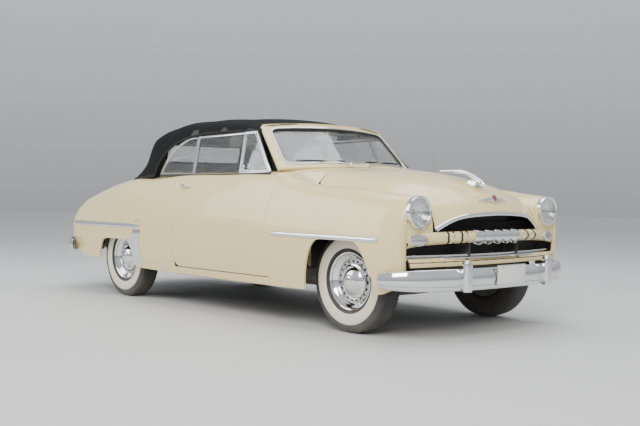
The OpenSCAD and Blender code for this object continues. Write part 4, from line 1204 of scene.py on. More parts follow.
@dataclass
class BodyShell:
    """Painted outer panels of the car."""

    thick: float = 12.0
    seam: float = 6.0
    body: str = "body"
    pieces: list[bpy.types.Object] = field(default_factory=list)

    def build(self) -> None:
        """Builds every painted panel."""
        self.fenders()
        self.quarters()
        self.doors()
        self.sills()
        self.centre_panels()
        self.cowl()

    def pair(self, left: bpy.types.Object, node: str, left_body: str, right_body: str) -> None:
        """Places a left panel and its mirror image."""
        right = mirrored(left, left.name.replace("left", "right"))
        place(left, left_body, node + "_left", slot="body_paint")
        place(right, right_body, node + "_right", slot="body_paint")

    def flange(self, outline: Array, drop: float, name: str) -> bpy.types.Object:
        """A rolled lip round a wheel opening."""
        pts = outline[(outline[:, 1] > drop)]
        start = int(np.argmax(np.abs(np.diff(pts[:, 0], append=pts[0, 0]))))
        pts = np.roll(pts, -start - 1, axis=0)
        u = side_u(pts[:, 0])
        v = np.array([side_v(a, b) for a, b in pts])
        p, n = SIDE.patch(u, v)
        p = world(p - n * 4.0)
        prof = [(-0.001, 0.004), (0.003, 0.0045), (0.0045, 0.001), (0.004, -0.012), (0.0005, -0.012),
                (-0.001, -0.002)]
        return sweep(name, p, n, prof, ENAMEL)

    def fenders(self) -> None:
        """Front fenders with their wheel openings and turned-in nose edges."""
        v = np.unique(np.concatenate([np.linspace(0.0035, 7, 84), np.linspace(0.86, 1.02, 9), [6.97]]))
        start = np.where(v < 0.9, 872.0, np.interp(v, [0.9, 1.0], [872.0, 0.0]) + np.interp(v, [0.9, 1.0],
                [0.0, 1.0]) * (door_front(np.maximum(v, 1.0)) + self.seam))
        start = np.where(v >= 1.0, door_front(v) + self.seam, start)
        u0 = side_u(start)
        s = np.unique(np.concatenate([np.linspace(0, 1, 170), [0.002], 1 - np.geomspace(0.002, 0.02, 4)]))
        u = u0[None, :] + (LAST_U - u0[None, :]) * s[:, None]
        p, n = SIDE.patch(u, np.broadcast_to(v, u.shape))
        p, keep = cut_side(p, n, front_opening())
        left = skin("fender_left_panel", p, n, self.thick, (ENAMEL, UNDERSEAL), keep)
        lip = self.flange(front_opening(), 305, "fender_lip")
        self.pair(join("fender_left_panel", [left, lip]), "fender", "body", "body")

    def quarters(self) -> None:
        """Rear quarters with wheel openings, lock pillars and inner walls."""
        v = np.unique(np.concatenate([np.linspace(0.0035, 7, 88), [0.02, 6.97]]))
        u1 = float(side_u(np.array(-398.0)))
        s = np.unique(np.concatenate([np.linspace(0, 1, 190), [0.002, 0.998]]))
        u = (u1 * s)[:, None] + 0 * v[None, :]
        p, n = SIDE.patch(u, np.broadcast_to(v, u.shape))
        p, keep = cut_side(p, n, rear_opening())
        left = skin("quarter_left_panel", p, n, self.thick, (ENAMEL, UNDERSEAL), keep)
        lip = self.flange(rear_opening(), 330, "quarter_lip")
        parts = [left, lip, block("lock_pillar", world([-446, 700, 415]), world([-399, 866, 1030]), ENAMEL,
                                  0.006),
                 slab_of("wheel_front_wall", world([(-879, q, z) for q,
                                                    z in ((702, 418), (898, 418), (908, 476), (914, 655),
                                                          (877, 872), (824, 1000), (768, 1034),
                                                          (702, 1038))]),
                         (1, 0, 0), 0.010, UNDERSEAL)]
        self.pair(join("quarter_left_panel", parts), "quarter", "body", "body")
        for s_, side in ((1, "left"), (-1, "right")):
            pad = skin(f"rear_side_trim_{side}", *self.flat_grid([-872, -452], [430, 1058], 698 * s_, s_),
                       9.0, (LEATHER,))
            place(pad, "body", slot="seat_trim")

    @staticmethod
    def flat_grid(xs: Sequence[float], zs: Sequence[float], y: float, side: int) -> tuple[Array, Array]:
        """An upright grid facing the cabin's middle, with pressed pleats."""
        x, z = np.meshgrid(np.linspace(*xs, 60), np.linspace(*zs, 30), indexing="ij")
        if side < 0:
            x = x[::-1]
        edge = np.minimum(np.minimum(x - xs[0], xs[1] - x), np.minimum(z - zs[0], zs[1] - z))
        puff = 6 * np.clip(edge / 25, 0, 1) ** 0.5 * (1 - 0.55 * bell((x - xs[0]) % 60, 30,
                5) * (z < zs[1] - 130))
        p = np.stack([x, y - side * puff, z], -1)
        n = grid_facing(p).reshape(p.shape)
        return p, n

    def doors(self) -> None:
        """Doors with full-thickness edges and inner skins."""
        v = np.unique(np.concatenate([np.linspace(1.0, 6.0, 66), [1.01, 1.03, 1.06]]))
        x_rear = np.full_like(v, -390.0)
        low = np.linspace(0, 1, 22)[1:]
        front = door_front(v)
        u_a, u_b = side_u(x_rear), side_u(front)
        s = np.unique(np.concatenate([np.linspace(0, 1, 120), [0.002, 0.998]]))
        u = u_a[None, :] + (u_b - u_a)[None, :] * s[:, None]
        vv = np.broadcast_to(v, u.shape).copy()
        tail_x = np.array([-390 + 70 * (1 - math.sqrt(max(0.0,
                                                          1 - max(0.0, (q - 0.35) / 0.65) ** 2))) for q in low])
        nose_x = np.interp(low, [0, 0.5, 1], [811, 818, 842])
        u_low = side_u(tail_x)[None, :] + (side_u(nose_x) - side_u(tail_x))[None, :] * s[:, None]
        x_low = np.interp(u_low, _U_DENSE, _X_DENSE)
        xs = np.linspace(-400, 880, 40)
        v_end = np.interp(x_low[:, -1], xs, [side_v(float(x), 336) for x in xs])
        v_low = 6.0 + (v_end[:, None] - 6.0) * low[None, :]
        u, vv = np.concatenate([u, u_low], 1), np.concatenate([vv, v_low], 1)
        p, n = SIDE.patch(u, vv)
        inner = p.copy()
        depth = np.where(p[..., 2] < 900, 808.0, 808 + (744 - 808) * (p[..., 2] - 900) / 190)
        inner[..., 0] += np.where(p[..., 0] < -100, 24 * (-100 - p[..., 0]) / 290, 0)
        inner[..., 1] = np.minimum(depth, p[..., 1] - 3)
        left = skin("door_left_shell", p, n, inner, (ENAMEL,))
        self.pair(left, "door", "door_left", "door_right")
        # Black rubber strips 17 mm behind the door's front and rear seams: the door seal, and painted shade
        # that keeps the seam gaps dark.
        parts = []
        for name, x in (("rear", np.full_like(v, -394.0)), ("front", door_front(v) + self.seam / 2)):
            q, m = SIDE.patch(side_u(x), v)
            parts.append(sweep(f"seal_{name}", world(q - m * 17), m,
                               [(-0.009, -0.004), (0.009, -0.004), (0.009, 0.002), (-0.009, 0.002)], SEAL))
        left = join("door_opening_seal_left", parts)
        place(left, "body")
        place(mirrored(left, "door_opening_seal_right"), "body")

    def sills(self) -> None:
        """Rocker panels below the doors."""
        x = np.linspace(-397, 840, 60)
        top = np.array([side_v(float(a), 328) for a in x])
        t = np.linspace(0, 1, 10)
        v = top[:, None] + (7.0 - top[:, None]) * t[None, :]
        u = np.broadcast_to(side_u(x)[:, None], v.shape)
        p, n = SIDE.patch(u, v)
        under = np.stack([np.repeat(p[:, -1:, 0], 4, 1), np.broadcast_to([875, 860, 830, 790], (60, 4)),
                          np.broadcast_to([268, 267, 267, 268], (60, 4))], -1)
        p = np.concatenate([p, under], 1)
        n = grid_facing(p).reshape(p.shape)
        parts = []
        left = skin("sill_left_panel", p, n, 6.0, (ENAMEL, UNDERSEAL))
        ledge = block("sill_ledge", world([-396, 776, 318]), world([840, 880, 327]), ENAMEL, 0.003)
        tread = block("sill_tread", world([-380, 782, 327]), world([800, 830, 330]), SATIN_STEEL, 0.001)
        parts = join("sill_left_panel", [left, ledge, tread])
        right = mirrored(parts, "sill_right_panel")
        place(parts, "body", "sills", slot="body_paint")
        place(right, "body", slot="body_paint")

    def centre_panels(self) -> None:
        """Hood, trunk lid and the strip between lid and top."""
        v = np.unique(np.concatenate([np.linspace(0.05, 5.95, 100), [0.055, 5.945]]))
        s = np.unique(np.concatenate([np.linspace(0, 10, 130), [0.01, 9.99]]))
        corner = 0.10 * np.clip(1 - (v - 0.05) / 0.10, 0, 1) ** 2 + 0.10 * np.clip(1 - (5.95 - v) / 0.10, 0,
                1) ** 2
        u = corner[None, :] * (1 - s[:, None] / 10) + s[:, None]
        p, n = HOOD.patch(u, np.broadcast_to(v, u.shape))
        place(skin("hood_panel", p, n, self.thick - 4, (ENAMEL, CHASSIS)), "hood", "hood", slot="body_paint")
        ribs = []
        for y in (-330, -120, 120, 330):
            x = np.linspace(1010, 2020, 24)
            q = np.stack([x, np.full(24, float(y)), [self.over(HOOD, float(a), float(y)) - 15 for a in x]], 1)
            ribs.append(sweep(f"rib{y}", world(q), np.tile((0, 0, 1.0), (24, 1)),
                              [(-.02, 0), (.02, 0), (.012, -.014), (-.012, -.014)], ENAMEL))
        place(join("hood_inner_ribs", ribs), "hood")
        v = np.unique(np.concatenate([np.linspace(0.06, 5.94, 76), [0.065, 5.935]]))
        s = np.unique(np.concatenate([np.linspace(0, 10.9, 110), [0.01, 10.89]]))
        p, n = LID.patch(s[:, None] + 0 * v, v + 0 * s[:, None])
        place(skin("trunk_lid_panel", p, n, self.thick - 3, (ENAMEL, CHASSIS)), "trunk_lid", "trunk_lid",
              slot="body_paint")
        v = np.linspace(0.002, 5.998, 60)
        s = np.linspace(0, 2, 16)
        p, n = DECK.patch(s[:, None] + 0 * v, v + 0 * s[:, None])
        deck = skin("deck", p, n, self.thick, (ENAMEL, UNDERSEAL))
        k, z = np.meshgrid(np.linspace(2, -2, 40), np.linspace(410, 582, 14), indexing="ij")
        pan = np.stack([-2372 + 2 * k * k + 5 * bell(z, 500, 14), k / 2 * (515 + (582 - z) * 0.0145), z], -1)
        low = skin("tail_pan", pan, grid_facing(pan).reshape(pan.shape), 8.0, (ENAMEL, UNDERSEAL))
        place(join("deck_and_tail_panel", [deck, low]), "body", "deck_panel", slot="body_paint")

    @staticmethod
    def over(net: Net, x: float, y: float) -> float:
        """Height of a centre panel over a station and half-width."""
        u = np.linspace(0, len(net.rows) - 1, 160)
        v = np.full(160, 3.0)
        for _ in range(6):
            q = net.base(u, v)
            v = v + (y - q[:, 1]) / 190.0
        order = np.argsort(q[:, 0])
        return float(np.interp(x, q[order, 0], q[order, 2]))

    def cowl(self) -> None:
        """Cowl top, its sides, the vent and the walls below it."""
        v = np.linspace(0.002, 5.998, 90)
        s = np.linspace(0, 2, 40)
        u = s[:, None] + 0 * v
        p, n = COWL.patch(u, np.broadcast_to(v, u.shape))
        top = skin("cowl_top", p, n, 9.0, (ENAMEL, UNDERSEAL))
        x = np.unique(np.concatenate([np.linspace(655, 871, 30), np.linspace(735, 760, 9)]))
        reach = np.interp(x, [655, 744, 745, 750, 871], [0.97, 0.97, 0.97, 1.0, 1.0])
        t = np.linspace(-0.03, 1, 22)
        vv = reach[:, None] * t[None, :]
        p, n = SIDE.patch(np.broadcast_to(side_u(x)[:, None], vv.shape), vv)
        side = skin("cowl_side", p, n, 9.0, (ENAMEL, UNDERSEAL))
        wall = [(655, 416), (1075, 416), (1075, 970), (925, 985), (860, 1040), (660, 1050)]
        inner = slab_of("cowl_wall", world([(a, 696, b) for a, b in wall]), (0, 1, 0), 0.012, ENAMEL, 0.002)
        post = block("hinge_pillar", world([872, 702, 416]), world([924, 800, 955]), ENAMEL, 0.004)
        near = join("near", [side, inner, post])
        far = mirrored(near, "far")
        half = [(694, 851), (694, 983), (590, 998), (560, 1018), (380, 1104), (215, 1122), (0, 1128)]
        outline = [(931, a, b) for a, b in half] + [(931, -a, b) for a, b in half[-2::-1]]
        walls = [slab_of("firewall_top", world(outline), (1, 0, 0), 0.012, CHASSIS),
                 block("firewall_shelf", world([925, -694, 847]), world([1070, 694, 859]), CHASSIS, 0.003),
                 block("firewall_low", world([1058, -694, 418]), world([1071, 694, 856]), CHASSIS, 0.003)]
        place(join("cowl_panel", [top, near, far, *walls]), "body", "cowl", slot="body_paint")
        slats = []
        for k in range(9):
            x0 = 858 + k * 6.5
            y = np.linspace(-150, 150, 9)
            z = [self.over(COWL, x0, float(a)) for a in y]
            slats.append((world(np.stack([np.full(9, x0), y, np.array(z) + 1.2], 1)),
                          np.tile((0, 0, 1.0), (9, 1))))
        place(row("cowl_vent_slats", slats, Bit.BAR, (0.0365, 0.0035, 0.003), 0.0373, CHROME), "body",
              slot="chrome")


# ---------------------------------------------------------------- glass
def shield(s: Array, w: Array) -> Array:
    """Windshield surface in station millimetres: s runs across, w up."""
    a = np.stack([835 - 110 * s * s, 700 * s, 1160 - 24 * s * s], -1)
    b = np.stack([520 - 80 * s * s, 636 * s, 1474 - 28 * s * s], -1)
    return a + (b - a) * np.asarray(w)[..., None]


def shield_patch(s: Array, w: Array) -> tuple[Array, Array]:
    """Windshield points and outward directions over a grid."""
    e = 1e-3
    n = unit(np.cross(shield(s + e, w) - shield(s - e, w), shield(s, w + e) - shield(s, w - e)))
    return shield(s, w), n


def glass_y(z: Array) -> Array:
    """Half-width of the side glass at a height."""
    return 790 - (np.asarray(z) - 1085) * 0.364


SIDE_N = unit(np.array([0, 1.0, 0.364]))


@dataclass
class Glazing:
    """Windshield, side glass, their frames and the rear window."""

    glass_mm: float = 5.0
    bead: float = 0.011

    def build(self) -> None:
        """Builds every pane and frame."""
        self.windshield()
        self.door_glass()
        self.quarter_glass()

    @staticmethod
    def pane_points(outline: Sequence[Sequence[float]], radius: float = 14.0) -> Array:
        """Outline of a side pane as points in station millimetres."""
        q = filleted(outline, radius, 5)
        return np.stack([q[:, 0], glass_y(q[:, 1]), q[:, 1]], 1)

    def frame(self, name: str, pts: Array, width: float, depth: float, finish: Finish,
              out: float = 0.0) -> bpy.types.Object:
        """A closed bright bead round a side pane."""
        p = world(pts) + SIDE_N * out
        w, d = width / 2, depth / 2
        prof = [(-w, -d), (w, -d), (w, d * 0.4), (w * 0.5, d), (-w * 0.5, d), (-w, d * 0.4)]
        return sweep(name, p, np.tile(SIDE_N, (len(p), 1)), prof, finish, True)

    def windshield(self) -> None:
        """Curved windshield with its rubber, bright reveal moulding and painted surround."""
        edge = filleted([(-0.93, 0.05), (0.93, 0.05), (0.93, 0.945), (-0.93, 0.945)], 0.13, 10)
        dense = np.concatenate([np.linspace(edge[k], edge[(k + 1) % len(edge)],
                                            8)[:-1] for k in range(len(edge))])
        s, w = np.meshgrid(np.linspace(-0.955, 0.955, 70), np.linspace(0.02, 0.968, 34), indexing="ij")
        p, n = shield_patch(s, w)
        glass = skin("windshield_pane", p - n * 10, n, self.glass_mm, (GLASS,))
        place(glass, "body", "windshield_glass", slot="glass")
        s, w = np.meshgrid(np.linspace(-1.02, 1.02, 150), np.linspace(-0.045, 1.035, 72), indexing="ij")
        q, keep = trim(np.stack([s, w], -1), dense)
        p, n = shield_patch(q[..., 0], q[..., 1])
        roll = -6 * np.clip((np.abs(q[..., 0]) - 0.985) / 0.035, 0, 1) ** 2
        place(skin("windshield_surround", p + n * (3 + roll)[..., None], n, 24.0, (ENAMEL,), keep), "body",
              "windshield_frame", slot="body_paint")
        pts, out = shield_patch(dense[:, 0], dense[:, 1])
        bead = [(-0.004, 0.002), (0.009, 0.0015), (0.010, 0.005), (0.005, 0.0095), (-0.001, 0.0085),
                (-0.004, 0.005)]
        place(sweep("windshield_reveal_moulding", world(pts), out, bead, CHROME, True), "body", slot="chrome")
        seal_and_seam_shade = [(-0.011, -0.013), (-0.001, -0.013), (-0.001, 0.004), (-0.006, 0.0045), (-0.011, -0.003)]
        place(sweep("windshield_seal", world(pts), out, seal_and_seam_shade, SEAL, True), "body")
        s = np.linspace(-1.0, 1.0, 60)
        p, n = shield_patch(s, np.full(60, 1.045))
        lip = [(-0.005, -0.014), (0.006, -0.014), (0.006, 0.007), (0.0, 0.010), (-0.005, 0.006)]
        place(sweep("header_moulding", world(p), n, lip, ENAMEL), "body")

    def door_glass(self) -> None:
        """Door panes, vent panes and their bright frames."""
        main = self.pane_points([(338, 1094), (262, 1400), (-352, 1390), (-262, 1088)], 10)
        vent = self.pane_points([(700, 1100), (668, 1098), (352, 1096), (276, 1402), (404, 1404)], 16)
        parts = [slab_of("pane", world(main), SIDE_N, 0.005, GLASS),
                 slab_of("vent", world(vent), SIDE_N, 0.005, GLASS)]
        left = join("door_left_panes", parts)
        right = mirrored(left, "door_right_panes")
        place(left, "door_left", "door_glass_left", slot="glass")
        place(right, "door_right", "door_glass_right", slot="glass")
        outer = self.frame("vent_frame", self.pane_points([(722, 1092), (350, 1090), (268, 1410),
                                                           (408, 1412)], 14), 0.012, 0.016, CHROME, 0.001)
        inner = self.frame("vent_inner", self.pane_points([(692, 1104), (366, 1104), (292, 1396),
                                                           (400, 1398)], 12), 0.007, 0.012, CHROME, 0.003)
        rod = [(-266, 1062), (-283, 1130), (-352, 1398)]
        pts = curve(rod, 20)
        divider = sweep("divider", world(np.stack([pts[:, 0], glass_y(pts[:, 1]), pts[:, 1]], 1)),
                        np.tile(SIDE_N, (20, 1)),
                        [(-0.011, -0.008), (0.011, -0.008), (0.011, 0.004), (0.006, 0.008), (-0.006, 0.008),
                         (-0.011, 0.004)], CHROME)
        pts = curve([(404, 1408), (150, 1402), (-100, 1397), (-360, 1392)], 30)
        rail = sweep("rail", world(np.stack([pts[:, 0], glass_y(pts[:, 1]), pts[:, 1]], 1)),
                     np.tile(SIDE_N, (30, 1)),
                     [(-0.006, -0.008), (0.008, -0.008), (0.008, 0.005), (0.002, 0.007), (-0.006, 0.005)],
                     CHROME)
        pts = curve([(728, 1092), (350, 1083), (0, 1080), (-270, 1078)], 40)
        wipe = sweep("wipe", world(np.stack([pts[:, 0], glass_y(pts[:, 1]) + 7, pts[:, 1] - 2], 1)),
                     np.tile(SIDE_N, (40, 1)),
                     [(-0.006, -0.004), (0.010, -0.004), (0.010, 0.003), (0.0, 0.006), (-0.006, 0.003)], SEAL)
        post = [(726, 1094), (420, 1414), (404, 1408), (706, 1096)]
        seal_and_seam_shade = slab_of("post_seal", world([(a, glass_y(b) - 2, b) for a, b in post]), SIDE_N, 0.014, SEAL)
        latch = block("latch", world([372, 770, 1112]), world([392, 782, 1150]), CHROME, 0.004)
        left = join("door_left_bright_frames", [outer, inner, divider, rail, wipe, seal_and_seam_shade, latch])
        right = mirrored(left, "door_right_bright_frames")
        place(left, "door_left", slot="chrome")
        place(right, "door_right", slot="chrome")

    def quarter_glass(self) -> None:
        """Curved-edge quarter panes."""
        q = np.array([(-292, 1090), (-372, 1388), (-470, 1383), (-560, 1360), (-640, 1316), (-700, 1262),
                      (-745, 1190), (-772, 1090)], float)
        arc = curve(q[1:], 40)
        line = np.concatenate([q[:1], arc])
        pts = np.stack([line[:, 0], glass_y(line[:, 1]), line[:, 1]], 1)
        left = slab_of("quarter_pane_left", world(pts), SIDE_N, 0.005, GLASS)
        right = mirrored(left, "quarter_pane_right")
        place(left, "body", "quarter_glass", slot="glass")
        place(right, "body", slot="glass")
        frame = self.frame("quarter_frame_left", pts, 0.013, 0.015, CHROME)
        base = slab_of("quarter_base", world([(-300, glass_y(1080), 1068), (-300, glass_y(1088), 1094),
                                              (-772, glass_y(1088), 1094), (-782, glass_y(1070), 1066)]),
                                              SIDE_N, 0.010, SEAL)
        left = join("quarter_frame_left", [frame, base])
        place(left, "body", slot="chrome")
        place(mirrored(left, "quarter_frame_right"), "body", slot="chrome")


# ---------------------------------------------------------------- cloth top
@dataclass
class SoftTop:
    """Raised cloth top with its seams, bindings, lining and rear window."""

    cloth_mm: float = 2.2
    window: tuple[float, float, float] = (800.0, 165.0, 1292.0)

    def build(self) -> None:
        """Builds the stretched sheet and the pieces sewn on it."""
        edge = filleted([(-420, 1208), (420, 1208), (420, 1376), (-420, 1376)], 55, 8)
        dense = np.concatenate([np.linspace(edge[k], edge[(k + 1) % len(edge)],
                                            6)[:-1] for k in range(len(edge))])
        v = np.linspace(0, 10, 150)
        s = np.linspace(0, 6, 150)
        u = s[:, None] + 0 * v
        p, n = TOP.patch(u, np.broadcast_to(v, u.shape))
        q = p[..., [1, 2]].copy()
        q[p[..., 0] > -860] = (9e3, 9e3)
        moved, keep = trim(q, dense)
        shift = np.where((q < 8e3).all(-1)[..., None], moved - q, 0)
        p[..., 1:] += shift
        p[..., 0] -= (n[..., 1] * shift[..., 0] + n[..., 2] * shift[...,
                1]) / np.where(np.abs(n[..., 0]) < 0.2, -0.2, n[..., 0])
        cloth = skin("soft_top_cloth", p, n, self.cloth_mm, (CANVAS, LINING), keep)
        place(cloth, "body", "soft_top", slot="top_cloth")
        place(self.edges(), "body", slot="top_cloth")
        self.seams()
        self.rear_window(dense)
        self.lining()

    def line(self, u: Array, v: Array, lift: float) -> tuple[Array, Array]:
        """A line on the cloth in metres, with its directions."""
        p, n = TOP.patch(u, v)
        return world(p + n * lift), n

    def edges(self) -> bpy.types.Object:
        """Binding tape round the lower edge and over the windows."""
        parts = []
        tape = [(-0.012, -0.001), (0.012, -0.001), (0.012, 0.0035), (0.008, 0.0045), (-0.008, 0.0045),
                (-0.012, 0.0035)]
        for v in (0.05, 9.95):
            p, n = self.line(np.linspace(0.02, 5.97, 160), np.full(160, v), -1)
            parts.append(sweep(f"side{v}", p, n, tape, BINDING))
        for u, name in ((0.03, "base"), (5.96, "front")):
            p, n = self.line(np.full(150, u), np.linspace(0.03, 9.97, 150), -1)
            parts.append(sweep(name, p, n, tape, BINDING))
        return join("soft_top_bindings", parts)

    def seams(self) -> None:
        """Sewn seams along the roof with their stitches."""
        piping, stitches = [], []
        welt = [(-0.004, -0.001), (0.004, -0.001), (0.0035, 0.002), (0, 0.0032), (-0.0035, 0.002)]
        for v in (1.75, 8.25):
            p, n = self.line(np.linspace(0.04, 5.94, 180), np.full(180, v), 0)
            piping.append(sweep(f"welt{v}", p, n, welt, BINDING))
            for side in (-0.06, 0.06):
                stitches.append(self.line(np.linspace(0.06, 5.9, 150), np.full(150, v + side), 0.4))
        for v in (0.16, 9.84):
            stitches.append(self.line(np.linspace(0.06, 5.9, 150), np.full(150, v), 0.4))
        for u in (2.05, 0.12, 5.9):
            p, n = self.line(np.full(120, u), np.linspace(0.2, 9.8, 120), 0)
            stitches.append((p + n * 0.0004, n))
        place(join("soft_top_welts", piping), "body", slot="top_cloth")
        place(row("soft_top_stitches", stitches, Bit.BEAD, (0.005, 0.0012, 0.001), 0.009, BINDING), "body",
              slot="top_cloth")

    def rear_window(self, edge: Array) -> None:
        """Clear rear window in its sewn surround."""
        y, z = edge[:, 0], edge[:, 1]
        x = np.array([self.rear_x(a, b) for a, b in zip(y, z)])
        p = np.stack([x, y, z], 1)
        n = unit(np.stack([np.full(len(p), -0.85), np.zeros(len(p)), np.full(len(p), 0.5)], 1))
        bead = [(-0.004, -0.004), (0.012, -0.004), (0.014, 0.002), (0.008, 0.005), (-0.002, 0.004)]
        place(sweep("rear_window_surround", world(p), n, bead, BINDING, True), "body", slot="top_cloth")
        inner = p[::2] * (1, 1.012, 1) - n[::2] * 4
        rings, count = 9, len(inner)
        mid = inner.mean(0)
        grid = np.stack([mid + (inner - mid) * t for t in np.linspace(1, 0.02, rings)])
        grid[..., 0] = np.array([[self.rear_x(b[1], b[2]) for b in a] for a in grid]) + 4.0
        verts = world(grid).reshape(-1, 3)
        faces = [[i * count + j, i * count + (j + 1) % count, (i + 1) * count + (j + 1) % count,
                  (i + 1) * count + j]
                 for i in range(rings - 1) for j in range(count)]
        pane = mesh_object("rear_window_pane", np.concatenate([verts, [verts[-count:].mean(0)]]),
                           faces + [[(rings - 1) * count + j, (rings - 1) * count + (j + 1) % count,
                                     rings * count] for j in range(count)], (GLASS,))
        outward(pane)
        solid = pane.modifiers.new("thick", "SOLIDIFY")
        solid.thickness, solid.offset = 0.003, 0
        place(pane, "body", "rear_window", slot="glass")

    @staticmethod
    def rear_x(y: float, z: float) -> float:
        """Station of the cloth's rear face at a half-width and height."""
        v = np.full(60, 5.0)
        u = np.linspace(0.2, 2.6, 60)
        for _ in range(8):
            q = TOP.base(u, v)
            v = v + (y - q[:, 1]) / 210.0
        return float(np.interp(z, q[:, 2], q[:, 0]))

    def lining(self) -> None:
        """Sleeves of lining cloth under three of the bows; the bows keep their CAD shape."""
        for i in range(3):
            u = (3.05, 4.05, 5.0)[i]
            p, n = self.line(np.full(60, u), np.linspace(0.9, 9.1, 60), -16)
            place(sweep(f"roof_bow_sleeve_{i + 1}", p, n,
                        [(-0.022, 0), (0.022, 0), (0.018, -0.012), (-0.018, -0.012)], LINING), "body",
                        slot="top_cloth")


# ---------------------------------------------------------------- bright work
def flat_plate(name: str, grid: Array, thick: float, finish: Finish) -> bpy.types.Object:
    """A plate from a grid of points in station millimetres."""
    p = np.asarray(grid, float)
    return skin(name, p, grid_facing(p).reshape(p.shape), thick, (finish,))


